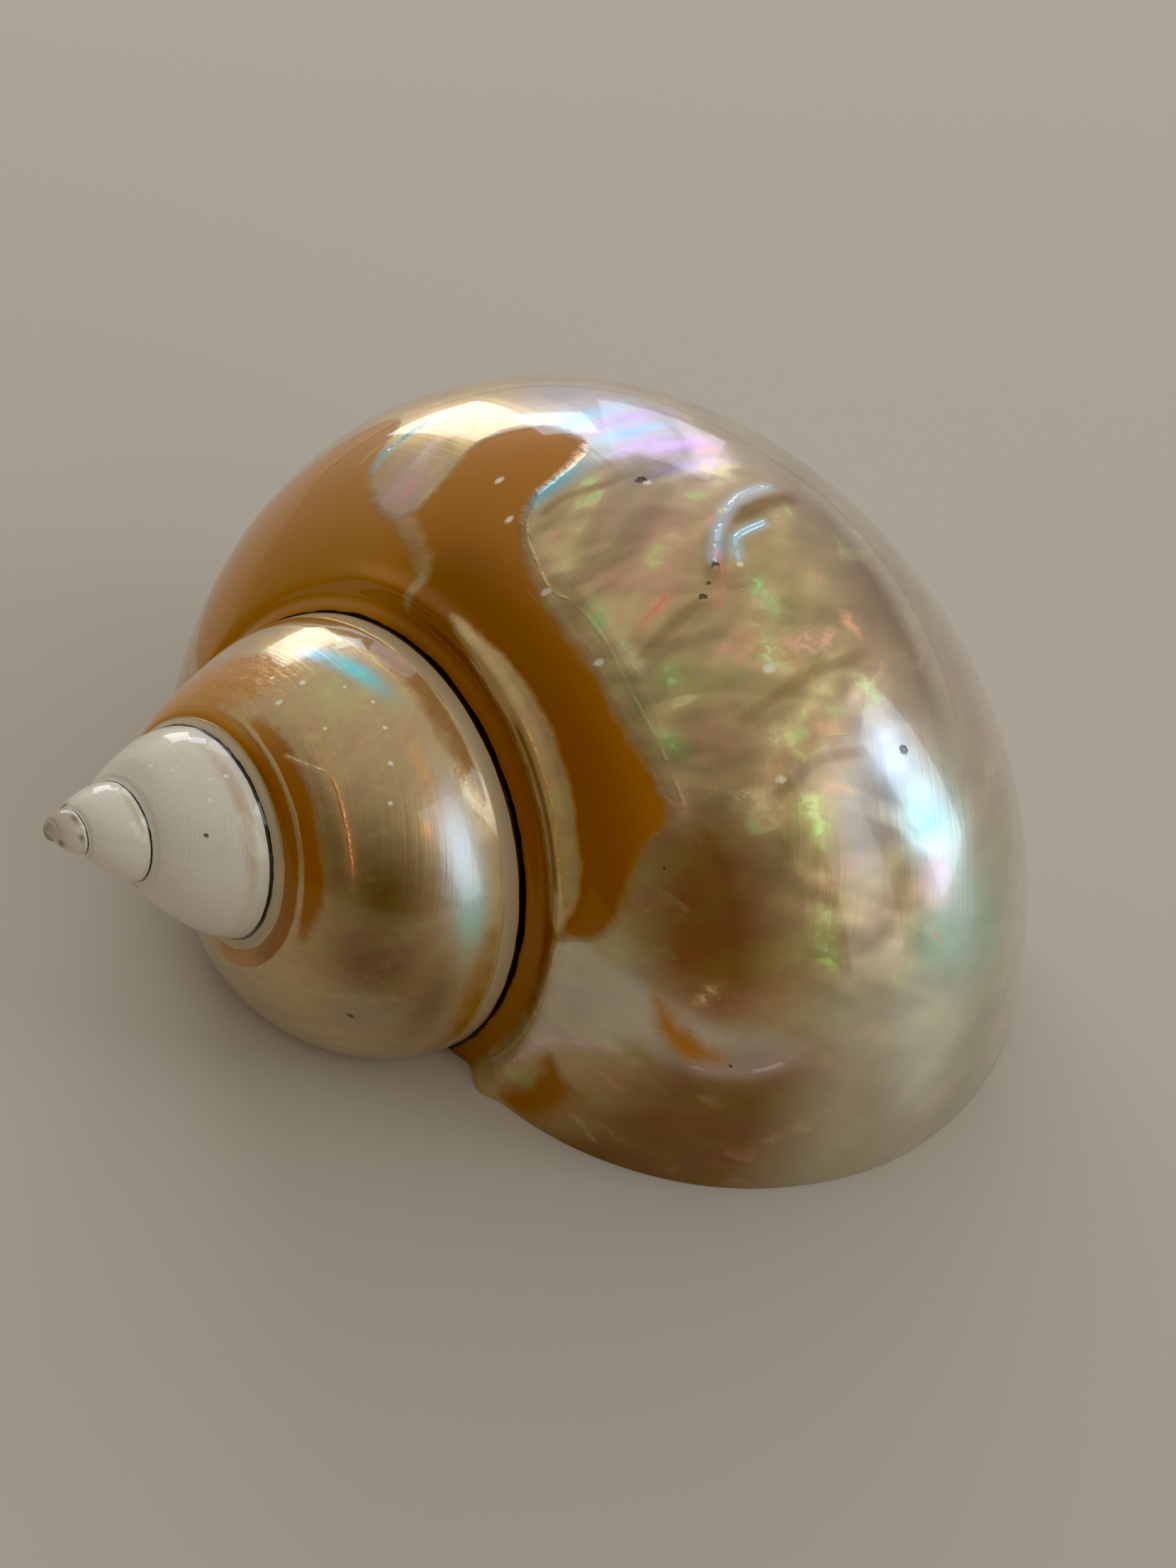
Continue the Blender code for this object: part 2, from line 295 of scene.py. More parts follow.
def outer_grid():
    """Points, faces and (turn, share) at each face's corners, for the outside as one closed surface.

    A row of points is one step of growth. Its last column is the first column of the row one turn later, so
    that whorls share their seam. Earlier whorls have half or a quarter of the columns, and where the count
    doubles, faces have a fifth corner. The last turn goes on over the base to the axis. One fan closes the
    apex and another closes the tube's end.
    """
    rows = round(SPIRAL_TURNS * STEPS_PER_TURN)
    turns = TUBE_ENDS - (rows - np.arange(rows + 1)) * FULL_TURN / STEPS_PER_TURN
    even = np.linspace(0.0, 1.0, WHORL_COLUMNS + 1)
    shares = COLUMN_SPREAD * even + (1.0 - COLUMN_SPREAD) * even**2
    base_shares = 1.0 + np.linspace(0.0, 1.0, BASE_COLUMNS + 1)[1:]
    strides = np.where(turns < QUARTERED_BEFORE, 4, np.where(turns < HALVED_BEFORE, 2, 1))
    base_start = rows - STEPS_PER_TURN

    points, numbers, total = [], [], 0
    for row, turn in enumerate(turns):
        own = shares[:: strides[row]] if row > base_start else shares[: -1 : strides[row]]
        if row >= base_start:
            own = np.concatenate([own, base_shares])
        points.append(outer_points(np.full(len(own), turn), angle_at(own)))
        numbers.append(total + np.arange(len(own)))
        total += len(own)

    def whole_row(row):
        """Point numbers and shares along one row, from the seam above to the seam below or to the axis."""
        kept = shares[:: strides[row]]
        if row > base_start:
            return numbers[row], np.concatenate([kept, base_shares])
        seam_below = numbers[row + STEPS_PER_TURN][:1]
        whorl, base = np.split(numbers[row], [len(kept) - 1])
        if row == base_start:
            kept = np.concatenate([kept, base_shares])
        return np.concatenate([whorl, seam_below, base]), kept

    faces, corners = [], []
    for row in range(rows):
        (here, here_shares), (after, after_shares) = whole_row(row), whole_row(row + 1)
        moments = [turns[row], turns[row], turns[row + 1], turns[row + 1]]
        if strides[row] == strides[row + 1]:
            count = min(len(here), len(after))
            picks = [(here, here_shares, slice(0, count - 1)), (here, here_shares, slice(1, count))]
            picks += [(after, after_shares, slice(1, count)), (after, after_shares, slice(0, count - 1))]
        else:
            picks = [(here, here_shares, slice(0, -1)), (here, here_shares, slice(1, None))]
            picks += [(after, after_shares, slice(first, None if first else -1, 2)) for first in (2, 1, 0)]
            moments.append(turns[row + 1])
        loops = np.stack([index[part] for index, _, part in picks], axis=1)
        places = []
        for moment, (_, at, part) in zip(moments, picks):
            places.append(np.stack([np.full(len(loops), moment), at[part]], axis=1))
        faces += loops.tolist()
        corners.append(np.stack(places, axis=1).reshape(-1, 2))

    def fan(middle_point, edge):
        """Triangles from one point to an edge of (number, turn, share), all round."""
        points.append(np.asarray(middle_point)[None])
        middle = sum(len(part) for part in points) - 1
        for (index, turn, share), (next_index, next_turn, next_share) in zip(edge, edge[1:] + edge[:1]):
            faces.append([middle, int(index), int(next_index)])
            corners.append(np.array([[turn, 0.5], [turn, share], [next_turn, next_share]]))

    tip_depth = growth(turns[0]) * float(outline(np.array(SEAM_TOP))[1]) * APEX_ROUNDING
    first, first_shares = whole_row(0)
    edge = [(numbers[row][0], turns[row], 0.0) for row in range(STEPS_PER_TURN + 1)]
    edge += [(first[column], turns[0], first_shares[column]) for column in range(len(first) - 2, 0, -1)]
    fan(APEX + AXIS * float(worn(tip_depth)), edge)

    size = growth(turns[-1])
    end = placed(np.array(turns[-1]), np.array(size * TUBE_CENTRE_RADIUS), np.array(size * TUBE_CENTRE_DEPTH))
    last, last_shares = whole_row(rows)
    start, start_shares = whole_row(base_start)
    edge = [(last[column], turns[-1], last_shares[column]) for column in range(len(last))]
    edge += [(numbers[row][-1], turns[row], 2.0) for row in range(rows - 1, base_start, -1)]
    for column in range(len(start) - 1, WHORL_COLUMNS, -1):
        edge.append((start[column], turns[base_start], start_shares[column]))
    fan(end, edge)
    return np.concatenate(points), faces, np.concatenate(corners)


def inner_grid():
    """Points, faces and (turn, share) at each face's corners, for the hollow as one closed tube."""
    turns = np.linspace(HOLLOW_STARTS, HOLLOW_ENDS, HOLLOW_STEPS)
    around = np.linspace(0.0, FULL_TURN, HOLLOW_SIDES, endpoint=False)
    turn, angle = np.meshgrid(turns, around, indexing="ij")
    rings = inner_points(turn, angle)
    index = np.arange(HOLLOW_STEPS * HOLLOW_SIDES).reshape(HOLLOW_STEPS, HOLLOW_SIDES)
    beside = np.roll(index, -1, axis=1)
    faces = np.stack([index[:-1], index[1:], beside[1:], beside[:-1]], axis=-1).reshape(-1, 4).tolist()
    side = np.broadcast_to(INSIDE_SHARE + np.arange(HOLLOW_SIDES) / HOLLOW_SIDES, turn[1:].shape)
    next_side = side + 1.0 / HOLLOW_SIDES
    corner_turns = np.stack([turn[:-1], turn[1:], turn[1:], turn[:-1]], axis=-1)
    corner_shares = np.stack([side, side, next_side, next_side], axis=-1)
    corners = [np.stack([corner_turns, corner_shares], axis=-1).reshape(-1, 2)]
    points = [rings.reshape(-1, 3)]
    for row, middle in ((0, HOLLOW_STEPS * HOLLOW_SIDES), (-1, HOLLOW_STEPS * HOLLOW_SIDES + 1)):
        points.append(rings[row].mean(axis=0)[None])
        ends = (index[row], beside[row]) if row == 0 else (beside[row], index[row])
        faces += np.stack([np.full(HOLLOW_SIDES, middle), *ends], axis=1).tolist()
        corners.append(np.tile([turns[row], INSIDE_SHARE], (3 * HOLLOW_SIDES, 1)))
    return np.concatenate(points), faces, np.concatenate(corners)


def closed_object(name, grid):
    """A closed surface as an object, faces outwards, with its (turn, share) in the UV map called whorl."""
    points, faces, corners = grid
    mesh = bpy.data.meshes.new(name)
    mesh.from_pydata(points.tolist(), [], faces)
    mesh.uv_layers.new(name="whorl").uv.foreach_set("vector", corners.astype(np.float32).ravel())
    mesh.shade_smooth()
    shape = bmesh.new()
    shape.from_mesh(mesh)
    if shape.calc_volume(signed=True) < 0.0:
        bmesh.ops.reverse_faces(shape, faces=shape.faces)
    shape.to_mesh(mesh)
    shape.free()
    made = bpy.data.objects.new(name, mesh)
    bpy.context.scene.collection.objects.link(made)
    return made


def without(whole, *cutters):
    """The mesh of a closed object less its cutters, which are then removed with it."""
    for cutter in cutters:
        boolean = whole.modifiers.new("without_" + cutter.name, "BOOLEAN")
        boolean.operation = "DIFFERENCE"
        boolean.solver = "MANIFOLD"
        boolean.object = cutter
    bpy.context.view_layer.update()
    mesh = bpy.data.meshes.new_from_object(whole.evaluated_get(bpy.context.evaluated_depsgraph_get()))
    for used in (whole, *cutters):
        bpy.data.objects.remove(used, do_unlink=True)
    return mesh


def shell_mesh():
    """The outside less the hollow and less all that is under the ground plane."""
    bpy.ops.mesh.primitive_cube_add(size=GROUND_SIDE, location=(0.0, 0.0, -0.5 * GROUND_SIDE))
    ground = bpy.context.object
    ground.name = "ground"
    return without(closed_object("outside", outer_grid()), closed_object("hollow", inner_grid()), ground)


# Marks of the last whorl. Each place is a turn angle and a share of the way down.
AMBER_EDGE = (
    (-3.6, -0.03), (-3.6, 0.36), (-3.25, 0.4), (-3.02, 0.47), (-2.93, 0.44), (-2.9, 0.33),
    (-2.83, 0.26), (-2.73, 0.215), (-2.62, 0.22), (-2.595, 0.3), (-2.6, 0.4), (-2.55, 0.47),
    (-2.44, 0.5), (-2.375, 0.47), (-2.345, 0.37), (-2.31, 0.315), (-2.21, 0.268), (-2.07, 0.238),
    (-1.9, 0.238), (-1.7, 0.243), (-1.52, 0.268), (-1.44, 0.275), (-1.36, 0.232), (-1.26, 0.205),
    (-1.14, 0.18), (-1.05, 0.14), (-1.0, 0.085), (-0.9, 0.065), (-0.6, 0.052), (-0.3, 0.042),
    (0.2, 0.035), (0.2, -0.03),
)
STRIP_EDGE = (
    (-2.24, 0.103), (-2.1, 0.078), (-1.9, 0.062), (-1.6, 0.056), (-1.3, 0.054), (-1.12, 0.052),
    (-1.03, 0.062), (-1.02, 0.08), (-1.08, 0.094), (-1.15, 0.112), (-1.4, 0.121), (-1.7, 0.131),
    (-1.92, 0.124), (-2.1, 0.111),
)
COLUMN_PATH = ((-2.42, 0.07), (-2.44, 0.14), (-2.55, 0.18), (-2.66, 0.23), (-2.72, 0.28))
# This one shares six places with the amber's edge
PEARLY_EDGE = (*AMBER_EDGE[5:11], (-2.7, 0.43), (-2.86, 0.42))
ISLAND_EDGE = (
    (-0.99, 0.235), (-0.95, 0.285), (-0.915, 0.32), (-0.9, 0.37), (-0.87, 0.395), (-0.83, 0.37),
    (-0.81, 0.32), (-0.83, 0.275), (-0.88, 0.24),
)
RUSTY_EDGE = (
    (-0.83, 0.3), (-0.76, 0.26), (-0.66, 0.235), (-0.5, 0.2), (-0.3, 0.17), (-0.2, 0.25),
    (-0.3, 0.45), (-0.5, 0.5), (-0.66, 0.515), (-0.8, 0.5), (-0.95, 0.485), (-0.9, 0.42),
    (-0.84, 0.37),
)
SHADOW_EDGE = (
    (-1.43, 0.31), (-1.37, 0.265), (-1.25, 0.24), (-1.1, 0.23), (-1.0, 0.25), (-0.965, 0.31),
    (-0.975, 0.38), (-1.06, 0.405), (-1.25, 0.4), (-1.4, 0.37),
)
TONGUE_EDGE = (
    (-1.02, 0.095), (-1.0, 0.17), (-0.985, 0.23), (-0.965, 0.29), (-0.955, 0.36), (-0.965, 0.43),
    (-0.965, 0.49), (-0.92, 0.475), (-0.86, 0.41), (-0.815, 0.34), (-0.8, 0.28), (-0.815, 0.235),
    (-0.76, 0.205), (-0.68, 0.155), (-0.6, 0.115), (-0.5, 0.085), (-0.7, 0.08), (-0.86, 0.085),
)
WEDGE_EDGE = (
    (-0.25, 0.095), (-0.41, 0.1), (-0.58, 0.11), (-0.56, 0.18), (-0.62, 0.225), (-0.48, 0.2),
    (-0.4, 0.2), (-0.28, 0.165),
)

# The patches inside these edges: the edge, its softness and the patch's strength
AMBER_PATCH = (AMBER_EDGE, 0.07, 1.0)
STRIP = (STRIP_EDGE, 0.045, 1.0)
PEARLY_PATCH = (PEARLY_EDGE, 0.11, 0.85)
ISLAND = (ISLAND_EDGE, 0.09, 0.68)
WEDGE = (WEDGE_EDGE, 0.09, 0.74)
RUSTY_PATCH = (RUSTY_EDGE, 0.14, 0.85)
TONGUE = (TONGUE_EDGE, 0.03, 0.9)
SHADOW = (SHADOW_EDGE, 0.09, 0.9)
CALM_PATCH = (SHADOW_EDGE, 0.12, 0.85)
COLUMN_HALF_WIDTH = 0.075
COLUMN_STRENGTH = 0.55
STRIP_STRENGTH = 0.85

# Bright thin lines, partly edges of the pearl's layers and partly painted highlights along folds: their
# layer, colour, half width in shares, strength and path. Where two lines of a layer come near each other, the
# nearer one is drawn.
THIN_LINES = (
    (0, (255, 214, 170), 0.0045, 1.0,
     ((-2.1, 0.07), (-1.9, 0.063), (-1.6, 0.06), (-1.3, 0.06), (-1.14, 0.058), (-1.06, 0.066),
      (-1.02, 0.079))),
    (1, (255, 196, 110), 0.004, 0.9,
     ((-1.8, 0.093), (-1.6, 0.092), (-1.4, 0.09), (-1.2, 0.087), (-1.12, 0.09))),
    (1, (240, 214, 180), 0.0045, 0.8,
     ((-1.0, 0.078), (-0.8, 0.073), (-0.6, 0.066), (-0.4, 0.056), (-0.25, 0.05))),
    (2, (255, 222, 160), 0.004, 0.9,
     ((-2.31, 0.325), (-2.26, 0.295), (-2.19, 0.275), (-2.09, 0.258), (-2.02, 0.275))),
    (2, (224, 234, 160), 0.0045, 0.45, ((-2.02, 0.275), (-1.9, 0.28), (-1.75, 0.278), (-1.6, 0.29))),
    (2, (255, 210, 170), 0.0045, 0.5, ((-1.62, 0.288), (-1.52, 0.296), (-1.45, 0.302))),
    # Painted highlight: a cyan glow line
    (0, (150, 235, 255), 0.009, 1.0, ((-2.88, 0.3), (-2.875, 0.36), (-2.84, 0.42), (-2.79, 0.48))),
    (1, (255, 214, 130), 0.004, 0.9, ((-2.96, 0.33), (-2.93, 0.37), (-2.9, 0.41))),
    # Painted highlights: blue-white lines along a fold
    (0, (225, 242, 255), 0.0065, 2.2, ((-1.96, 0.49), (-2.04, 0.54), (-2.1, 0.61), (-2.12, 0.72))),
    (1, (206, 242, 255), 0.0055, 2.0, ((-1.96, 0.535), (-2.015, 0.56), (-2.035, 0.64))),
    (2, (255, 150, 110), 0.0035, 0.8, ((-1.87, 0.46), (-1.95, 0.5), (-2.02, 0.515))),
    (1, (255, 140, 110), 0.006, 0.8, ((-1.89, 0.33), (-1.93, 0.39), (-1.955, 0.42))),
    (1, (240, 206, 204), 0.008, 0.8, ((-0.82, 0.31), (-0.845, 0.37), (-0.885, 0.43), (-0.94, 0.475))),
    (0, (240, 190, 190), 0.007, 0.8,
     ((-0.79, 0.235), (-0.7, 0.16), (-0.6, 0.105), (-0.48, 0.085), (-0.36, 0.075))),
    (0, (255, 226, 170), 0.006, 1.0, ((-8.2, 0.165), (-8.1, 0.215), (-8.0, 0.29))),
    (1, (255, 176, 120), 0.008, 0.9, ((-8.0, 0.3), (-7.8, 0.298), (-7.6, 0.297), (-7.38, 0.298))),
)
# Soft brown lines in a layer of their own: painted shade where a fold turns away from the light, and in the
# last row a dark amber band between two bright lines
SHADOW_LINES = (
    (3, (138, 98, 46), 0.025, 0.75,
     ((-1.92, 0.47), (-1.985, 0.505), (-2.045, 0.55), (-2.07, 0.62), (-2.08, 0.76))),
    (3, (140, 104, 58), 0.017, 0.5, ((-1.81, 0.31), (-1.85, 0.355), (-1.885, 0.41), (-1.91, 0.46))),
    (3, (138, 104, 60), 0.016, 0.45, ((-1.62, 0.4), (-1.67, 0.48), (-1.71, 0.57), (-1.73, 0.68))),
    (3, (138, 104, 60), 0.014, 0.4, ((-1.46, 0.43), (-1.53, 0.5), (-1.545, 0.56), (-1.54, 0.6))),
    (3, (140, 108, 66), 0.011, 0.4, ((-2.28, 0.33), (-2.285, 0.39), (-2.25, 0.47))),
    (3, (104, 64, 8), 0.009, 0.75,
     ((-1.8, 0.0785), (-1.6, 0.0775), (-1.4, 0.076), (-1.24, 0.074), (-1.12, 0.074))),
)
SHADOW_LAYER = 3
LINE_REACH = 0.034
LINE_TAPER = 0.12
LINE_FADES_FROM = 0.7
FAR_OFFSET = 12.0

# Painted sparkles, tiny coloured highlights in the folds: middle, reach along the turn, reach down, lean in
# degrees, colour, strength
PAINTED_SPARKLES = (
    ((-1.947, 0.29), 0.05, 0.012, -8, (206, 240, 160), 1.8),
    ((-1.919, 0.369), 0.035, 0.012, -45, (255, 186, 150), 1.7),
    ((-1.759, 0.344), 0.02, 0.014, 0, (200, 240, 150), 1.7),
    ((-1.875, 0.539), 0.04, 0.012, -5, (190, 246, 160), 1.9),
    ((-1.755, 0.504), 0.03, 0.016, 0, (236, 250, 170), 1.7),
    ((-1.767, 0.574), 0.02, 0.05, 0, (255, 200, 164), 1.7),
    ((-1.787, 0.664), 0.022, 0.014, 0, (255, 190, 150), 1.7),
    ((-1.683, 0.559), 0.02, 0.016, 0, (255, 226, 160), 1.5),
    ((-1.603, 0.549), 0.02, 0.022, -20, (255, 206, 160), 1.8),
    ((-1.603, 0.31), 0.026, 0.014, 0, (210, 246, 150), 1.2),
    ((-1.463, 0.295), 0.036, 0.012, -10, (255, 206, 160), 1.7),
    ((-1.463, 0.419), 0.02, 0.04, 0, (255, 226, 170), 1.9),
    ((-1.451, 0.489), 0.022, 0.022, 30, (236, 250, 160), 1.6),
    ((-1.399, 0.499), 0.026, 0.014, 0, (220, 250, 150), 1.7),
    ((-1.227, 0.489), 0.03, 0.012, 0, (244, 246, 170), 1.8),
    ((-1.155, 0.499), 0.02, 0.018, 0, (230, 250, 150), 1.9),
    ((-1.015, 0.325), 0.034, 0.008, -25, (255, 214, 150), 1.4),
    ((-1.587, 0.469), 0.02, 0.016, 0, (255, 236, 170), 1.8),
    ((-1.563, 0.49), 0.022, 0.012, 30, (246, 240, 160), 1.6),
    ((-2.05, 0.552), 0.026, 0.012, 20, (255, 176, 150), 1.7),
    ((-1.66, 0.64), 0.026, 0.012, 40, (226, 244, 170), 1.3),
    ((-1.85, 0.3), 0.06, 0.012, 0, (236, 240, 180), 1.2),
)

# Tiny glints, which are painted highlights, and pits in the polish: their place and radius
PAINTED_GLINTS = (
    ((-2.335, 0.298), 0.0115), ((-2.455, 0.35), 0.0115), ((-2.088, 0.25), 0.0128),
    ((-1.845, 0.255), 0.0121), ((-2.083, 0.573), 0.0108), ((-1.728, 0.49), 0.0128),
    ((-2.215, 0.508), 0.0095), ((-1.955, 0.535), 0.0081), ((-1.505, 0.452), 0.0108),
    ((-14.968, 0.294), 0.03), ((-14.74, 0.408), 0.026), ((-14.476, 0.671), 0.026),
    ((-14.252, 0.58), 0.03), ((-14.464, 0.823), 0.026), ((-8.56, 0.285), 0.0216),
    ((-8.77, 0.362), 0.0175), ((-8.605, 0.43), 0.0203), ((-8.455, 0.558), 0.0121),
    ((-8.315, 0.615), 0.0121), ((-8.165, 0.592), 0.0135), ((-7.985, 0.542), 0.0162),
    ((-7.795, 0.485), 0.0135), ((-8.26, 0.365), 0.0121),
)
PITS = (
    ((-1.91, 0.45), 0.009), ((-1.97, 0.497), 0.008), ((-2.228, 0.502), 0.011),
    ((-1.54, 0.672), 0.01), ((-1.303, 0.257), 0.0045), ((-0.865, 0.38), 0.004),
    ((-6.583, 0.435), 0.017), ((-1.935, 0.47), 0.005), ((-13.876, 0.449), 0.026),
)

# Soft tints over the last whorl's pearl, laid out as the sparkles are. Some are tones of the pearl; others
# are painted highlights, painted reflections and painted shade.
TINTS_AND_PAINTED_LIGHT = (
    ((-2.7, 0.27), 0.1, 0.07, -30, (232, 200, 190), 0.7),
    ((-2.69, 0.27), 0.012, 0.035, -20, (255, 170, 160), 0.6),
    ((-2.73, 0.36), 0.016, 0.05, -10, (236, 216, 206), 0.6),
    ((-1.85, 0.3), 0.5, 0.035, 0, (236, 208, 152), 0.85),
    ((-2.335, 0.39), 0.02, 0.085, 3, (110, 214, 236), 1.0),
    ((-2.2, 0.42), 0.14, 0.1, 0, (176, 160, 120), 0.5),
    ((-2.12, 0.45), 0.1, 0.06, 0, (220, 170, 150), 0.5),
    ((-2.02, 0.36), 0.03, 0.08, -40, (235, 175, 150), 0.6),
    ((-1.93, 0.33), 0.03, 0.07, -40, (214, 206, 130), 0.6),
    ((-1.75, 0.35), 0.06, 0.05, -30, (190, 196, 120), 0.5),
    ((-1.6, 0.31), 0.03, 0.02, 0, (190, 224, 130), 0.6),
    ((-1.72, 0.44), 0.12, 0.1, -50, (184, 172, 110), 0.5),
    ((-1.6, 0.4), 0.05, 0.1, -50, (196, 158, 116), 0.5),
    ((-1.9, 0.58), 0.1, 0.06, -40, (196, 182, 120), 0.6),
    ((-1.76, 0.5), 0.03, 0.05, -50, (230, 150, 120), 0.5),
    # Painted reflection: a lilac haze, lilac, blue and pink stripes, and a pale haze beside them
    ((-2.38, 0.6), 0.19, 0.1, 0, (196, 194, 222), 0.8),
    ((-2.47, 0.58), 0.022, 0.08, 0, (150, 216, 244), 0.8),
    ((-2.415, 0.62), 0.016, 0.09, -8, (196, 168, 240), 0.9),
    ((-2.365, 0.59), 0.016, 0.08, -8, (150, 206, 246), 0.9),
    ((-2.315, 0.57), 0.014, 0.07, -8, (214, 180, 240), 0.8),
    ((-2.275, 0.63), 0.018, 0.07, -10, (214, 160, 238), 0.9),
    ((-2.215, 0.6), 0.014, 0.08, -10, (196, 184, 232), 0.8),
    ((-2.6, 0.62), 0.12, 0.08, 0, (196, 190, 200), 0.7),
    ((-1.42, 0.48), 0.07, 0.04, 0, (206, 200, 120), 0.5),
    ((-1.19, 0.49), 0.06, 0.025, 0, (206, 210, 120), 0.5),
    # Painted highlight: the pale, blue, pink and mint colours in and round the right highlight
    ((-1.52, 0.64), 0.1, 0.07, 0, (196, 214, 240), 0.8),
    ((-1.4, 0.7), 0.07, 0.06, 0, (140, 226, 250), 0.9),
    ((-1.3, 0.71), 0.06, 0.04, 0, (246, 190, 220), 0.9),
    ((-1.17, 0.71), 0.08, 0.06, 0, (150, 236, 204), 0.8),
    ((-1.4, 0.56), 0.12, 0.04, 0, (206, 206, 204), 0.7),
    ((-0.86, 0.17), 0.2, 0.07, -15, (176, 184, 158), 0.8),
    ((-0.8, 0.4), 0.05, 0.06, 0, (120, 124, 70), 0.6),
    ((-0.42, 0.13), 0.06, 0.03, 0, (150, 190, 110), 0.7),
    ((-0.93, 0.43), 0.05, 0.06, 0, (226, 196, 190), 0.7),
    ((-1.02, 0.68), 0.14, 0.1, 0, (222, 220, 196), 0.8),
    ((-0.86, 0.58), 0.16, 0.06, 0, (196, 178, 146), 0.7),
    # Painted highlight: the mint tail of the right highlight
    ((-1.2, 0.8), 0.1, 0.08, 0, (170, 210, 182), 0.7),
    ((-1.22, 0.95), 0.16, 0.12, 0, (196, 204, 178), 0.5),
    # Painted highlight: the right highlight reaching further
    ((-1.3, 0.75), 0.2, 0.05, 0, (216, 240, 236), 0.7),
    ((-0.98, 0.72), 0.16, 0.07, 0, (226, 222, 200), 0.8),
    ((-1.6, 1.0), 0.12, 0.2, 0, (214, 184, 172), 0.5),
    # Painted reflection: darker olive bands inside the rim
    ((-1.85, 0.73), 0.24, 0.07, 0, (152, 126, 92), 0.8),
    ((-1.82, 0.775), 0.26, 0.035, 0, (128, 104, 74), 0.8),
    ((-2.28, 0.74), 0.12, 0.03, 25, (160, 148, 124), 0.6),
)

# Tints of the whorl before it, some of them painted highlights
EARLIER_TINTS_AND_PAINTED_LIGHT = (
    ((-7.35, 0.42), 0.36, 0.17, 0, (118, 90, 46), 0.85),
    ((-6.95, 0.42), 0.26, 0.22, 0, (118, 74, 46), 0.85),
    ((-6.62, 0.45), 0.14, 0.12, 0, (172, 156, 130), 0.8),
    ((-6.8, 0.68), 0.3, 0.1, 0, (128, 98, 60), 0.8),
    ((-7.8, 0.24), 0.5, 0.04, 0, (146, 112, 68), 0.7),
    # Painted highlight in cyan
    ((-8.52, 0.66), 0.17, 0.05, 10, (110, 240, 250), 1.0),
    ((-8.42, 0.5), 0.14, 0.1, 10, (206, 206, 140), 0.6),
    # Painted highlight in blue
    ((-8.75, 0.6), 0.1, 0.05, 10, (150, 200, 236), 0.8),
    # Painted highlights in mint and white
    ((-7.32, 0.76), 0.16, 0.06, 0, (150, 226, 204), 0.9),
    ((-7.55, 0.73), 0.26, 0.08, 0, (226, 240, 248), 1.0),
    ((-7.95, 0.66), 0.12, 0.03, 0, (246, 170, 110), 0.7),
    ((-7.66, 0.6), 0.05, 0.02, 0, (255, 190, 130), 0.8),
    ((-8.05, 0.3), 0.22, 0.05, 0, (220, 180, 120), 0.6),
    ((-7.6, 0.3), 0.2, 0.015, 0, (250, 170, 110), 0.8),
    ((-9.1, 0.72), 0.5, 0.04, 0, (190, 160, 130), 0.7),
)

# Tints of the porcelain whorls and of the worn tip, with painted shade in tan bands beside the seams below
PORCELAIN_TINTS_AND_PAINTED_SHADE = (
    # Painted shade: a tan band beside the seam below
    ((-14.1, 0.84), 0.9, 0.06, 0, (188, 160, 116), 0.75),
    ((-15.2, 0.2), 0.5, 0.12, 0, (206, 190, 160), 0.5),
    # Painted shade: a tan band beside the seam below
    ((-20.6, 0.86), 0.8, 0.06, 0, (186, 164, 128), 0.6),
    ((-22.1, 0.08), 0.22, 0.09, 0, (92, 66, 40), 0.85),
    ((-27.08, 0.8), 0.25, 0.1, 0, (96, 66, 38), 0.85),
    ((-26.2, 0.82), 0.2, 0.08, 0, (84, 58, 34), 0.85),
    ((-25.5, 0.16), 0.3, 0.12, 0, (64, 48, 30), 0.9),
    ((-31.0, 0.4), 1.3, 0.3, 0, (186, 126, 74), 0.8),
    ((-29.4, 0.7), 0.8, 0.2, 0, (150, 100, 58), 0.7),
    ((-24.9, 0.93), 0.9, 0.05, 0, (96, 60, 36), 0.75),
)

# Colours of the pearl and of the amber, and of painted highlights and shade, as they look on a screen
CHAMPAGNE = linear(206, 174, 124)
PALE_PEARL = linear(192, 176, 154)
GREENISH_PEARL = linear(190, 182, 156)
BASE_PEARL = linear(206, 190, 176)
INNER_PEARL = linear(222, 210, 196)
PORCELAIN = linear(236, 226, 208)
# A brown patch, partly the pearl's own brown and partly a painted reflection of a dark thing nearby
BROWN_SHADOW = linear(162, 108, 64)
STRIP_GOLD = linear(232, 196, 136)
TONGUE_CREAM = linear(214, 202, 178)
TIP_BROWN = linear(150, 118, 84)
AMBER = linear(196, 122, 12)
DARK_AMBER = linear(162, 95, 2)
HONEY = linear(206, 142, 56)
BAND_BROWN = linear(164, 112, 40)
RUSTY = linear(126, 76, 34)
# Colours of painted highlights: on the bright sides of the folds, and on the glints
HIGHLIGHT_PINK = linear(255, 184, 158)
HIGHLIGHT_GOLD = linear(255, 232, 168)
HIGHLIGHT_GREEN = linear(214, 248, 158)
GLINT_CREAM = linear(255, 246, 214)
PIT_BROWN = linear(60, 44, 26)
RIM_CREAM = linear(198, 178, 146)
PORCELAIN_RIM = linear(228, 218, 202)
SEAM_BLACK = linear(22, 20, 18)
PAPER = linear(205, 196, 182)

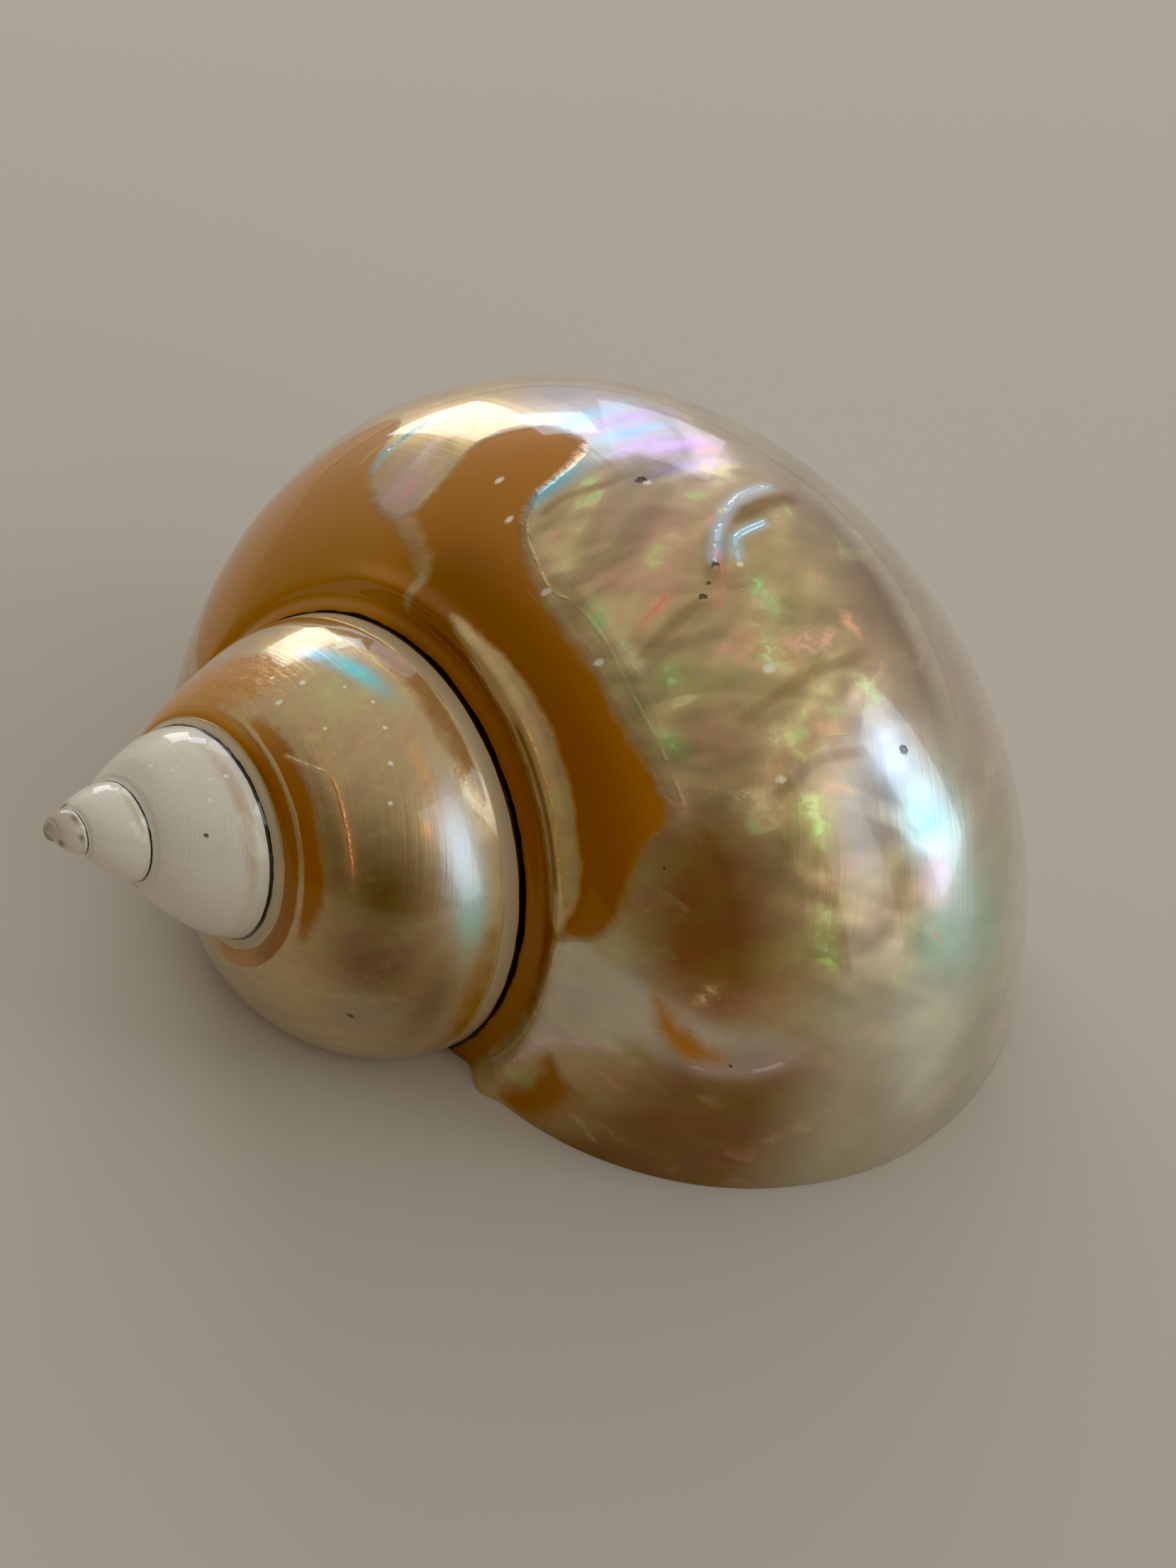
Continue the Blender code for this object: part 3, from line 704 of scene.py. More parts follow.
# Zones of the pearl and of the amber: colour, strength, and the turn angles and shares over which it comes in
EVERYWHERE = (-100.0, -99.0)
PEARL_ZONES = (
    (PALE_PEARL, 1.0, EVERYWHERE, (0.58, 0.86)),
    (GREENISH_PEARL, 0.8, (-1.35, -0.95), (0.42, 0.55)),
    (PALE_PEARL, 1.0, (-1.0, -0.2), (0.5, 0.8)),
    (BASE_PEARL, 1.0, EVERYWHERE, (0.85, 1.1)),
)
AMBER_ZONES = (
    (DARK_AMBER, 1.0, (-2.6, -2.3), (0.3, 0.16)),
    (HONEY, 0.7, (-2.45, -2.75), EVERYWHERE),
    (DARK_AMBER, 1.0, (-2.0, -1.4), (0.045, 0.015)),
)
EARLIER_AMBER_ZONES = (
    (DARK_AMBER, 1.0, (-8.7, -8.1), (0.5, 0.3)),
    (BAND_BROWN, 1.0, EVERYWHERE, (0.5, 0.7)),
)
LAST_WHORL_STARTS = (-6.5, -6.2)
PORCELAIN_ENDS = (-12.4, -12.0)
TIP_BROWN_TURNS = (-24.0, -28.0)
TIP_BROWN_STRENGTH = 0.55

# Amber bands of the whorl before the last. A band's four numbers: it starts, is full, is still full, ends.
FIRST_BAND = (0.036, 0.052, 0.094, 0.114)
FIRST_BAND_GOES_ON = (-5.3, -6.2)
SECOND_BAND = (0.108, 0.14, 0.13, 0.27)
SECOND_BAND_TURNS = (-8.9, -8.3, -7.3, -6.4)
UPPER_PATCH = (0.02, 0.06, 0.4, 0.62)
UPPER_PATCH_TURNS = (-8.2, -9.0)
LOWER_BAND = (0.7, 0.84, 0.885, 0.915)
# The lower band weakens round the painted highlight of this whorl
LOWER_BAND_GAP = (-7.5, 0.35)
LOWER_BAND_WEAKER = 0.7
BAND_STRENGTHS = (1.0, 0.95, 0.62, 0.66)

# Where the pearl is folded
CRINKLED_TURNS = (-2.45, -2.25, -1.25, -0.95)
CRINKLED_SHARES = (0.24, 0.3, 0.62, 0.78)
LEAST_CRINKLE = 0.25
EARLIER_CRINKLE = 0.12


def smooth_path(points, closed=False, pieces=6):
    """A Catmull-Rom curve through a few places, with more places between them."""
    points = np.array(points)
    if closed:
        points = np.concatenate([points[-1:], points, points[:2]])
    else:
        points = np.concatenate([2 * points[:1] - points[1:2], points, 2 * points[-1:] - points[-2:-1]])
    share = np.linspace(0.0, 1.0, pieces, endpoint=False)[None, :, None]
    one, two, three, four = (points[first : len(points) - 3 + first, None] for first in range(4))
    curve = 0.5 * (
        2 * two + (three - one) * share + (2 * one - 5 * two + 4 * three - four) * share**2
        + (3 * two - one - 3 * three + four) * share**3
    )
    return curve.reshape(-1, 2) if closed else np.concatenate([curve.reshape(-1, 2), points[-2:-1]])


def path_distance(place, path):
    """Signed distance from each place to a path, positive on its left, and the share of its length there."""
    nearest = np.full(len(place), np.inf)
    signed = np.zeros(len(place))
    along = np.zeros(len(place))
    runs = np.diff(path, axis=0)
    lengths = np.linalg.norm(runs, axis=1)
    starts = np.concatenate([[0.0], np.cumsum(lengths)])
    for start, run, length, before in zip(path[:-1], runs, lengths, starts):
        offset = place - start
        share = np.clip(offset @ run / length**2, 0.0, 1.0)
        rest = offset - share[:, None] * run
        distance = np.linalg.norm(rest, axis=1)
        closer = distance < nearest
        nearest[closer] = distance[closer]
        signed[closer] = (distance * np.sign(run[0] * rest[:, 1] - run[1] * rest[:, 0]))[closer]
        along[closer] = ((before + share * length) / starts[-1])[closer]
    return signed, along


def stretch(value, start, full, still_full, end):
    """0 before start, 1 from full to still full, and 0 after end, by two smooth steps."""
    return smooth_step(value, start, full) * smooth_step(value, end, still_full)


def patch(place, edge, softness, strength):
    """A strength inside a closed edge, half of it on the edge, 0 outside, by distance over a softness."""
    path = smooth_path(edge, closed=True)
    path = np.concatenate([path, path[:1]])
    result = np.zeros(len(place))
    near = ((place > path.min(axis=0) - softness) & (place < path.max(axis=0) + softness)).all(axis=1)
    some = place[near]
    distance = np.abs(path_distance(some, path)[0])
    inside = np.zeros(len(some), dtype=bool)
    for (turn, share), (next_turn, next_share) in zip(path[:-1], path[1:]):
        crosses = (share > some[:, 1]) != (next_share > some[:, 1])
        rise = next_share - share if next_share != share else 1.0
        inside ^= crosses & (some[:, 0] < turn + (some[:, 1] - share) * (next_turn - turn) / rise)
    result[near] = np.clip(0.5 + np.where(inside, distance, -distance) / softness, 0.0, 1.0)
    return strength * result


def blot(place, middle, reach_along, reach_down, lean):
    """A leaning soft ellipse: exp(-(x / reach along)^2 - (y / reach down)^2)."""
    cosine, sine = math.cos(math.radians(lean)), math.sin(math.radians(lean))
    offset = place - np.array(middle)
    x = offset[:, 0] * cosine + offset[:, 1] * sine
    y = offset[:, 1] * cosine - offset[:, 0] * sine
    return np.exp(-((x / reach_along) ** 2) - (y / reach_down) ** 2)


def laid_over(colour, top, strength):
    """A colour laid over another with a strength from 0 to 1."""
    return colour + (np.array(top) - colour) * np.clip(strength, 0.0, 1.0)[:, None]


def tinted(colour, place, tints, present):
    """A colour under a list of soft tints, where they are present."""
    for middle, along, down, lean, tint, strength in tints:
        colour = laid_over(colour, linear(*tint), strength * blot(place, middle, along, down, lean) * present)
    return colour


def zoned(colour, place, zones, present):
    """A colour under others, each coming in by a smooth step of the turn angle and one of the share."""
    turn, share = place.T
    for zone, strength, turns, shares in zones:
        amount = strength * smooth_step(turn, *turns) * smooth_step(share, *shares)
        colour = laid_over(colour, zone, amount * present)
    return colour


def pearl_colours(place, last, earlier, porcelain, strip):
    """The pearl of the last whorl, then of the one before it, and over them porcelain and the worn tip. Their
    tints carry painted highlights, reflections and shade along with the pearl's own tones.
    """
    pearl = np.tile(CHAMPAGNE, (len(place), 1))
    pearl = zoned(pearl, place, PEARL_ZONES, last)
    pearl = tinted(pearl, place, TINTS_AND_PAINTED_LIGHT, last)
    pearl = laid_over(pearl, TONGUE_CREAM, patch(place, *TONGUE))
    # The brown patch: partly the pearl's own brown, partly a painted reflection of a dark thing nearby
    pearl = laid_over(pearl, BROWN_SHADOW, patch(place, *SHADOW))
    pearl = laid_over(pearl, STRIP_GOLD, STRIP_STRENGTH * strip)
    pearl = laid_over(pearl, RUSTY, patch(place, *RUSTY_PATCH))
    pearl = tinted(pearl, place, EARLIER_TINTS_AND_PAINTED_LIGHT, earlier)
    pearl = laid_over(pearl, PORCELAIN, porcelain)
    pearl = tinted(pearl, place, PORCELAIN_TINTS_AND_PAINTED_SHADE, porcelain)
    return laid_over(pearl, TIP_BROWN, TIP_BROWN_STRENGTH * smooth_step(place[:, 0], *TIP_BROWN_TURNS))


def amber_colours(place, earlier):
    """The amber of the last whorl, and over it the darker amber and brown of the one before."""
    amber = np.tile(AMBER, (len(place), 1))
    amber = zoned(amber, place, AMBER_ZONES, 1.0)
    return zoned(amber, place, EARLIER_AMBER_ZONES, earlier)


def amber_field(place, last, earlier, porcelain, strip):
    """How much amber there is: the patches of the last whorl, and the bands of the one before it."""
    turn, share = place.T
    column = np.abs(path_distance(place, smooth_path(COLUMN_PATH))[0])
    column = COLUMN_STRENGTH * smooth_step(column, COLUMN_HALF_WIDTH, 0.0)
    pearly = np.maximum(strip, np.maximum(patch(place, *PEARLY_PATCH), column))
    field = np.minimum(patch(place, *AMBER_PATCH), 1.0 - pearly)
    field = np.maximum(field, np.maximum(patch(place, *ISLAND), patch(place, *WEDGE)))

    first = stretch(share, *FIRST_BAND)
    second = stretch(share, *SECOND_BAND) * stretch(turn, *SECOND_BAND_TURNS)
    upper = stretch(share, *UPPER_PATCH) * smooth_step(turn, *UPPER_PATCH_TURNS)
    lower = stretch(share, *LOWER_BAND) * (1.0 - LOWER_BAND_WEAKER * bump(turn, *LOWER_BAND_GAP))
    bands = [strength * band for strength, band in zip(BAND_STRENGTHS, (first, second, upper, lower))]
    field = np.where(earlier > 0.0, np.max(bands, axis=0) * earlier, field * last)
    return np.maximum(field, first * smooth_step(turn, *FIRST_BAND_GOES_ON) * (1.0 - porcelain))


def crinkles(place, last, earlier):
    """How folded the pearl is, from 0 to 1."""
    turn, share = place.T
    most = stretch(turn, *CRINKLED_TURNS) * stretch(share, *CRINKLED_SHARES)
    crinkle = LEAST_CRINKLE + (1.0 - LEAST_CRINKLE) * most
    return crinkle * (1.0 - patch(place, *CALM_PATCH)) * last + EARLIER_CRINKLE * earlier


def sparkle_fields(place):
    """Colour and strength of the strongest painted sparkle at each place."""
    sparkle = np.zeros((len(place), 4))
    for middle, along, down, lean, colour, strength in PAINTED_SPARKLES:
        here = strength * blot(place, middle, along, down, lean)
        stronger = here > sparkle[:, 3]
        sparkle[stronger] = (*linear(*colour), 0.0)
        sparkle[stronger, 3] = here[stronger]
    return sparkle


def paint(place):
    """The soft fields of every corner, by name.

    Pearl colour, which holds painted highlights, reflections and shade, with crinkle, amber colour with its
    field, painted sparkles with their strength, and the lines.
    """
    turn, share = place.T
    last = smooth_step(turn, *LAST_WHORL_STARTS)
    after_porcelain = smooth_step(turn, *PORCELAIN_ENDS)
    earlier, porcelain = (1.0 - last) * after_porcelain, 1.0 - after_porcelain
    inside = share > INSIDE_SHARE - 0.5
    strip = patch(place, *STRIP)

    pearl = pearl_colours(place, last, earlier, porcelain, strip)
    pearl = laid_over(pearl, INNER_PEARL, inside.astype(float))
    crinkle = crinkles(place, np.where(inside, 0.0, last), earlier)
    field = np.where(inside, 0.0, amber_field(place, last, earlier, porcelain, strip))
    fields = {
        "pearl": np.column_stack([pearl, crinkle]),
        "amber": np.column_stack([amber_colours(place, earlier), field]),
        "sparkle": sparkle_fields(place),
    }
    for layer in range(SHADOW_LAYER + 1):
        fields[f"line_{layer}"], fields[f"line_{layer}_offset"] = thin_line_fields(place, layer)
    return fields


def thin_line_fields(place, layer):
    """Colour and strength of the nearest line of one layer, and its signed distance in half widths."""
    colours = np.ones((len(place), 4)) * (1.0, 1.0, 1.0, 0.0)
    offsets = np.full(len(place), FAR_OFFSET)
    for own_layer, colour, half_width, strength, points in THIN_LINES + SHADOW_LINES:
        if own_layer != layer:
            continue
        path = smooth_path(points)
        near = ((place > path.min(axis=0) - LINE_REACH) & (place < path.max(axis=0) + LINE_REACH)).all(axis=1)
        signed, along = path_distance(place[near], path)
        here = strength * smooth_step(np.abs(signed), LINE_REACH, LINE_FADES_FROM * LINE_REACH)
        here = here * stretch(along, 0.0, LINE_TAPER, 1.0 - LINE_TAPER, 1.0)
        offset = signed / half_width
        closer = np.abs(offset) < np.abs(offsets[near])
        chosen = np.flatnonzero(near)[closer]
        offsets[chosen] = offset[closer]
        colours[chosen, :3] = linear(*colour)
        colours[chosen, 3] = here[closer]
    return colours, offsets


def add_paint(mesh):
    """Stores the soft fields on the mesh's corners, for the material to sharpen."""
    place = np.empty(2 * len(mesh.loops), np.float32)
    mesh.uv_layers["whorl"].uv.foreach_get("vector", place)
    normals = np.empty(3 * len(mesh.polygons), np.float32)
    mesh.polygons.foreach_get("normal", normals)
    corner_counts = np.empty(len(mesh.polygons), np.int32)
    mesh.polygons.foreach_get("loop_total", corner_counts)
    place = place.reshape(-1, 2).astype(float)
    flat = np.repeat(normals[2::3] < -CUT_FLAT, corner_counts) | (place == 0.0).all(axis=1)
    place[flat] = (0.0, INSIDE_SHARE)
    mesh.uv_layers["whorl"].uv.foreach_set("vector", place.astype(np.float32).ravel())
    for name, values in paint(place).items():
        if values.ndim == 2:
            layer = mesh.attributes.new(name, "FLOAT_COLOR", "CORNER")
            layer.data.foreach_set("color", values.astype(np.float32).ravel())
        else:
            layer = mesh.attributes.new(name, "FLOAT", "CORNER")
            layer.data.foreach_set("value", values.astype(np.float32))


# The pearl's patterns, in lengths on the whorl's map: turn angle, share, and the lean in degrees
GRAIN = (0.11, 0.07)
HUE_STREAKS = (0.06, 0.25, 45)
POLISH_MARKS = (0.9, 0.022, -6)
FOLDS = (0.16, 0.27, 52)
SMALL_FOLDS = (0.08, 0.11, -15)
SEAM_WAVES = (0.17, 0.50)

# Noises: scale, detail, roughness, distortion
GRAIN_NOISE = (1.0, 4.0, 0.6)
STREAK_NOISE = (1.0, 4.0, 0.55, 0.3)
POLISH_NOISE = (1.0, 3.0, 0.6, 0.2)
FOLD_NOISE = (1.0, 1.4, 0.4, 0.35)
SEAM_NOISE = (1.0, 3.0)
CREASE_NOISE = (19.0, 3.0, 0.6)
CREASE_COLOUR_NOISE = (6.0, 1.0)
SPARKLE_NOISE = (40.0, 2.0, 0.5)
LINE_NOISE = (22.0, 2.0, 0.6)
SPOT_NOISE = (160.0, 1.0)
FOLD_STEP = (0.22, 0.05, 0.0)
FOLD_RISE = 0.11

# How they show. The two numbers of a step or of breaks are where it starts and where it ends.
AMBER_RAGGED = 0.25
AMBER_STEP = (0.30, 0.70)
# The painted light and shade of the folds, and the painted highlights on their bright sides
FOLD_LIGHT = 0.62
SMALL_FOLD_LIGHT = 0.38
LEVEL_LIGHT = 0.43
FOLD_SHADING_CONTRAST = 0.62
STREAK_STEP = (0.3, 0.7)
HUE_TURNED = (0.485, 0.515)
CREASE_STEP = (0.70, 0.88)
CREASE_BREAKS = (0.44, 0.62)
CREASE_HIGHLIGHT_STRENGTH = 0.70
PINK_TO_GOLD = (0.42, 0.50)
GOLD_TO_GREEN = (0.50, 0.58)
SPARKLE_BREAKS = (0.40, 0.60)
SPARKLE_STRENGTH = 0.9
SPARKLE_GLOW = 0.25
SHADOW_LINE_STEP = (1.3, 0.2)
LINE_STEP = (1.3, 0.0)
LINE_BREAKS = (0.40, 0.58)
LINE_LEAST = 0.20
HALO_STEP = (4.0, 0.0)
HALO_STRENGTH = 0.30
SPOT_STEP = (1.0, 0.4)
SPOT_RAGGED = 0.004
PIT_STRENGTH = 0.8

# Seam lines: how far they wave, and the shares and turn angles over which they come in
SEAM_WAVE_HEIGHT = 0.008
EARLIER_TURNS = (-6.15, -6.3)
PORCELAIN_TURNS = (-12.0, -12.4)
BASE_BEYOND = 1.5
CREAM_BELOW = (0.896, 0.906)
CREAM_ABOVE = (0.040, 0.032)
BLACK_BELOW = (0.971, 0.978)
BLACK_ABOVE = (0.006, 0.003)

# The finish: metallic on bare pearl and on what covers it, roughness off and on a bright line. The heights of
# the relief are in shares of the bump's distance.
METALLIC = (0.60, 0.05)
ROUGHNESS = (0.30, 0.16)
SMALL_FOLD_HEIGHT = 0.30
FOLD_RELIEF = 1.2
POLISH_HEIGHT = 0.05
LINE_HEIGHT = 0.10
SHADOW_DEPTH = 0.08
PIT_DEPTH = 0.6
BUMP_DISTANCE = 0.45 * MM
FINISH = {"Specular IOR Level": 0.1, "Coat Weight": 1.0, "Coat Roughness": 0.055, "Coat IOR": 1.55}


class Nodes:
    """Adds nodes to a shader tree and links them, so that a formula reads as one."""

    def __init__(self, tree):
        self.tree = tree

    def add(self, kind, inputs=(), **settings):
        node = self.tree.nodes.new(kind)
        for name, value in settings.items():
            setattr(node, name, value)
        for place, value in dict(inputs).items():
            if isinstance(value, bpy.types.NodeSocket):
                self.tree.links.new(value, node.inputs[place])
            else:
                node.inputs[place].default_value = value
        return node

    def math(self, operation, *values, clamp=False):
        inputs = {place: value for place, value in enumerate(values)}
        return self.add("ShaderNodeMath", inputs, operation=operation, use_clamp=clamp).outputs[0]

    def times(self, *values, clamp=False):
        return self.math("MULTIPLY", *values, clamp=clamp)

    def larger(self, first, *others):
        """The largest of several values."""
        for other in others:
            first = self.math("MAXIMUM", first, other)
        return first

    def step(self, value, start, end, low=0.0, high=1.0):
        """low before start, high after end, and a smooth step between them."""
        inputs = {"Value": value, "From Min": start, "From Max": end, "To Min": low, "To Max": high}
        return self.add("ShaderNodeMapRange", inputs, interpolation_type="SMOOTHSTEP").outputs["Result"]

    def mix(self, share, *colours):
        """One colour going over to another. Each is a socket or a linear colour."""
        first, second = (end if isinstance(end, bpy.types.NodeSocket) else (*end, 1.0) for end in colours)
        return self.add("ShaderNodeMix", {0: share, 6: first, 7: second}, data_type="RGBA").outputs[2]

    def noise(self, vector, scale, detail=3.0, roughness=0.5, distortion=0.0):
        inputs = {"Vector": vector, "Scale": scale, "Detail": detail}
        inputs.update({"Roughness": roughness, "Distortion": distortion})
        return self.add("ShaderNodeTexNoise", inputs).outputs[0]

    def leaning(self, vector, across, along, lean=0.0):
        """Measures a place in lengths across and along a pattern whose long way leans by some degrees."""
        inputs = {"Vector": vector, "Scale": (across, along, 1.0), "Rotation": (0.0, 0.0, math.radians(lean))}
        return self.add("ShaderNodeMapping", inputs, vector_type="TEXTURE").outputs[0]

    def painted(self, name):
        return self.add("ShaderNodeAttribute", attribute_name=name, attribute_type="GEOMETRY").outputs


def folded(n, place, across, along, lean):
    """The height of soft folds, and how much their slopes face one way, for painted light and shade: 0.5 on
    the level, 1 on a bright side.

    The second is the noise a short step further on less the noise here.
    """
    own_place = n.leaning(place, across, along, lean)
    height = n.noise(own_place, *FOLD_NOISE)
    beside = n.add("ShaderNodeVectorMath", {0: own_place, 1: FOLD_STEP}, operation="ADD").outputs[0]
    rise = n.math("SUBTRACT", n.noise(beside, *FOLD_NOISE), height)
    return height, n.step(rise, -FOLD_RISE, FOLD_RISE)


def spot_group():
    """A soft round spot on the whorl's map: 1 in the middle and 0 past its radius."""
    group = bpy.data.node_groups.new("spot", "ShaderNodeTree")
    group.interface.new_socket("Place", in_out="INPUT", socket_type="NodeSocketVector")
    group.interface.new_socket("Middle", in_out="INPUT", socket_type="NodeSocketVector")
    group.interface.new_socket("Radius", in_out="INPUT", socket_type="NodeSocketFloat")
    group.interface.new_socket("Spot", in_out="OUTPUT", socket_type="NodeSocketFloat")
    n = Nodes(group)
    given = n.add("NodeGroupInput").outputs
    places = {0: given["Place"], 1: given["Middle"]}
    away = n.add("ShaderNodeVectorMath", places, operation="DISTANCE").outputs["Value"]
    n.add("NodeGroupOutput", {"Spot": n.step(n.math("DIVIDE", away, given["Radius"]), *SPOT_STEP)})
    return group


def spots(n, place, group, marks):
    """The largest of the spots at a list of marks."""
    found = []
    for middle, radius in marks:
        node = n.add("ShaderNodeGroup", node_tree=group)
        n.tree.links.new(place, node.inputs["Place"])
        node.inputs["Middle"].default_value = (*middle, 0.0)
        node.inputs["Radius"].default_value = radius
        found.append(node.outputs[0])
    return n.larger(*found)


def glints_and_pits(n, whorl):
    """Two masks of round spots, the painted glints and the pits, made ragged by moving each place by a very
    fine noise.
    """
    shift = n.noise(whorl, *SPOT_NOISE).node.outputs["Color"]
    reach = (2.0 * SPOT_RAGGED, 2.0 * SPOT_RAGGED, 0.0)
    moved = n.add("ShaderNodeVectorMath", {0: shift, 1: reach, 2: whorl}, operation="MULTIPLY_ADD").outputs[0]
    back = (SPOT_RAGGED, SPOT_RAGGED, 0.0)
    moved = n.add("ShaderNodeVectorMath", {0: moved, 1: back}, operation="SUBTRACT").outputs[0]
    group = spot_group()
    return spots(n, moved, group, PAINTED_GLINTS), spots(n, moved, group, PITS)


def amber_share(n, whorl):
    """The painted field of the amber, with edges broken by fine noise."""
    grain = n.noise(n.leaning(whorl, *GRAIN), *GRAIN_NOISE)
    ragged = n.math("MULTIPLY_ADD", grain, 2.0 * AMBER_RAGGED, -AMBER_RAGGED)
    return n.step(n.math("ADD", n.painted("amber")["Alpha"], ragged), *AMBER_STEP)


def pearl_colour(n, whorl, light, crinkle):
    """The painted pearl, with a little of every colour in it, lighter and darker by painted fold shading, and
    with painted highlights in pink, gold and green on the brightest sides of its folds.
    """
    streaks = n.noise(n.leaning(whorl, *HUE_STREAKS), *STREAK_NOISE)
    # Painted fold shading: the pearl lighter on the lit side of each fold and darker on the other
    fold_shading = n.times(n.math("SUBTRACT", light, LEVEL_LIGHT), n.times(crinkle, FOLD_SHADING_CONTRAST))
    pearl = n.add("ShaderNodeHueSaturation", {
        "Hue": n.step(streaks, *STREAK_STEP, *HUE_TURNED), "Value": n.math("ADD", fold_shading, 1.0),
        "Color": n.painted("pearl")["Color"]}).outputs[0]
    # Painted highlights in pink, gold and green on the brightest sides of the folds
    broken = n.step(n.noise(whorl, *CREASE_NOISE), *CREASE_BREAKS)
    crease_highlight = n.times(n.step(light, *CREASE_STEP), n.times(broken, crinkle))
    which = n.noise(whorl, *CREASE_COLOUR_NOISE)
    highlight_colour = n.mix(n.step(which, *PINK_TO_GOLD), HIGHLIGHT_PINK, HIGHLIGHT_GOLD)
    highlight_colour = n.mix(n.step(which, *GOLD_TO_GREEN), highlight_colour, HIGHLIGHT_GREEN)
    return n.mix(n.times(crease_highlight, CREASE_HIGHLIGHT_STRENGTH), pearl, highlight_colour)


def with_sparkles(n, whorl, colour):
    """Painted sparkles, tiny highlights in the folds, broken by a fine noise over a faint painted glow."""
    lit = n.painted("sparkle")
    grains = n.step(n.noise(whorl, *SPARKLE_NOISE), *SPARKLE_BREAKS)
    broken = n.times(n.times(lit["Alpha"], grains), SPARKLE_STRENGTH, clamp=True)
    glow = n.times(lit["Alpha"], SPARKLE_GLOW, clamp=True)
    return n.mix(n.larger(broken, glow), colour, lit["Color"])


def line_and_distance(n, layer):
    """A layer's painted line, and how many half widths away it is."""
    return n.painted(f"line_{layer}"), n.math("ABSOLUTE", n.painted(f"line_{layer}_offset")["Fac"])


def with_shadow_lines(n, colour):
    """The soft brown lines over a colour, most of them painted shade, and their share of each place."""
    line, distance = line_and_distance(n, SHADOW_LAYER)
    share = n.times(n.step(distance, *SHADOW_LINE_STEP), line["Alpha"])
    return n.mix(share, colour, line["Color"]), share


def with_thin_lines(n, whorl, colour):
    """Bright lines, partly painted highlights, broken by a noise and with a faint halo, and their own share
    of each place.
    """
    gaps = n.step(n.noise(whorl, *LINE_NOISE), *LINE_BREAKS, LINE_LEAST, 1.0)
    found = []
    for layer in range(SHADOW_LAYER):
        line, distance = line_and_distance(n, layer)
        own = n.times(n.times(n.step(distance, *LINE_STEP), line["Alpha"]), gaps)
        own = n.math("MINIMUM", own, 1.0)
        halo = n.times(n.step(distance, *HALO_STEP, 0.0, HALO_STRENGTH), line["Alpha"], clamp=True)
        colour = n.mix(n.larger(own, halo), colour, line["Color"])
        found.append(own)
    return colour, n.larger(*found)


def with_seam_lines(n, whorl, colour):
    """Cream and black lines along the seams of the earlier whorls, and how far a place isn't bare pearl."""
    turn, share, _ = n.add("ShaderNodeSeparateXYZ", {0: whorl}).outputs
    waves = n.noise(n.leaning(whorl, *SEAM_WAVES), *SEAM_NOISE)
    edge = n.math("ADD", share, n.math("MULTIPLY_ADD", waves, 2.0 * SEAM_WAVE_HEIGHT, -SEAM_WAVE_HEIGHT))
    earlier = n.step(turn, *EARLIER_TURNS)
    porcelain = n.step(turn, *PORCELAIN_TURNS)
    on_whorl = n.math("LESS_THAN", share, BASE_BEYOND)
    cream = n.times(n.step(edge, *CREAM_BELOW), earlier)
    cream = n.larger(cream, n.times(n.step(edge, *CREAM_ABOVE), earlier))
    cream = n.times(cream, on_whorl)
    colour = n.mix(cream, colour, n.mix(porcelain, RIM_CREAM, PORCELAIN_RIM))
    black = n.times(n.step(edge, *BLACK_BELOW), earlier)
    black = n.times(n.larger(black, n.step(edge, *BLACK_ABOVE)), on_whorl)
    return n.mix(black, colour, SEAM_BLACK), n.larger(porcelain, black, cream)


def nacre():
    """Mother-of-pearl: metal-like pearl and duller amber under a smooth clear coat."""
    material = bpy.data.materials.new("nacre")
    material.use_nodes = True
    n = Nodes(material.node_tree)
    shader = material.node_tree.nodes["Principled BSDF"]
    whorl = n.add("ShaderNodeUVMap", uv_map="whorl").outputs[0]
    crinkle = n.painted("pearl")["Alpha"]
    folds, fold_light = folded(n, whorl, *FOLDS)
    small_folds, small_light = folded(n, whorl, *SMALL_FOLDS)
    # How far each place lies on the lit side of the folds, for their painted light and shade
    light = n.math("MULTIPLY_ADD", small_light, SMALL_FOLD_LIGHT, n.times(fold_light, FOLD_LIGHT))

    amber = amber_share(n, whorl)
    colour = n.mix(amber, pearl_colour(n, whorl, light, crinkle), n.painted("amber")["Color"])
    colour = with_sparkles(n, whorl, colour)
    colour, shadow_lines = with_shadow_lines(n, colour)
    colour, thin_lines = with_thin_lines(n, whorl, colour)
    glint, pit = glints_and_pits(n, whorl)
    # Painted glints: small cream highlights
    colour = n.mix(glint, colour, GLINT_CREAM)
    colour = n.mix(n.times(pit, PIT_STRENGTH), colour, PIT_BROWN)
    colour, covered = with_seam_lines(n, whorl, colour)
    dull = n.larger(amber, covered, glint)
    n.tree.links.new(colour, shader.inputs["Base Color"])
    n.tree.links.new(n.step(dull, 0.0, 1.0, *METALLIC), shader.inputs["Metallic"])
    n.tree.links.new(n.step(thin_lines, 0.0, 1.0, *ROUGHNESS), shader.inputs["Roughness"])

    polish = n.noise(n.leaning(whorl, *POLISH_MARKS), *POLISH_NOISE)
    height = n.math("MULTIPLY_ADD", small_folds, SMALL_FOLD_HEIGHT, n.times(folds, FOLD_RELIEF))
    height = n.math("MULTIPLY_ADD", polish, POLISH_HEIGHT, n.times(height, crinkle))
    height = n.times(height, n.math("SUBTRACT", 1.0, amber))
    height = n.math("MULTIPLY_ADD", thin_lines, LINE_HEIGHT, height)
    height = n.math("MULTIPLY_ADD", shadow_lines, -SHADOW_DEPTH, height)
    height = n.math("MULTIPLY_ADD", pit, -PIT_DEPTH, height)
    relieved = n.add("ShaderNodeBump", {"Height": height, "Distance": BUMP_DISTANCE, "Strength": 1.0})
    n.tree.links.new(relieved.outputs[0], shader.inputs["Normal"])
    for name, value in FINISH.items():
        shader.inputs[name].default_value = value
    return material


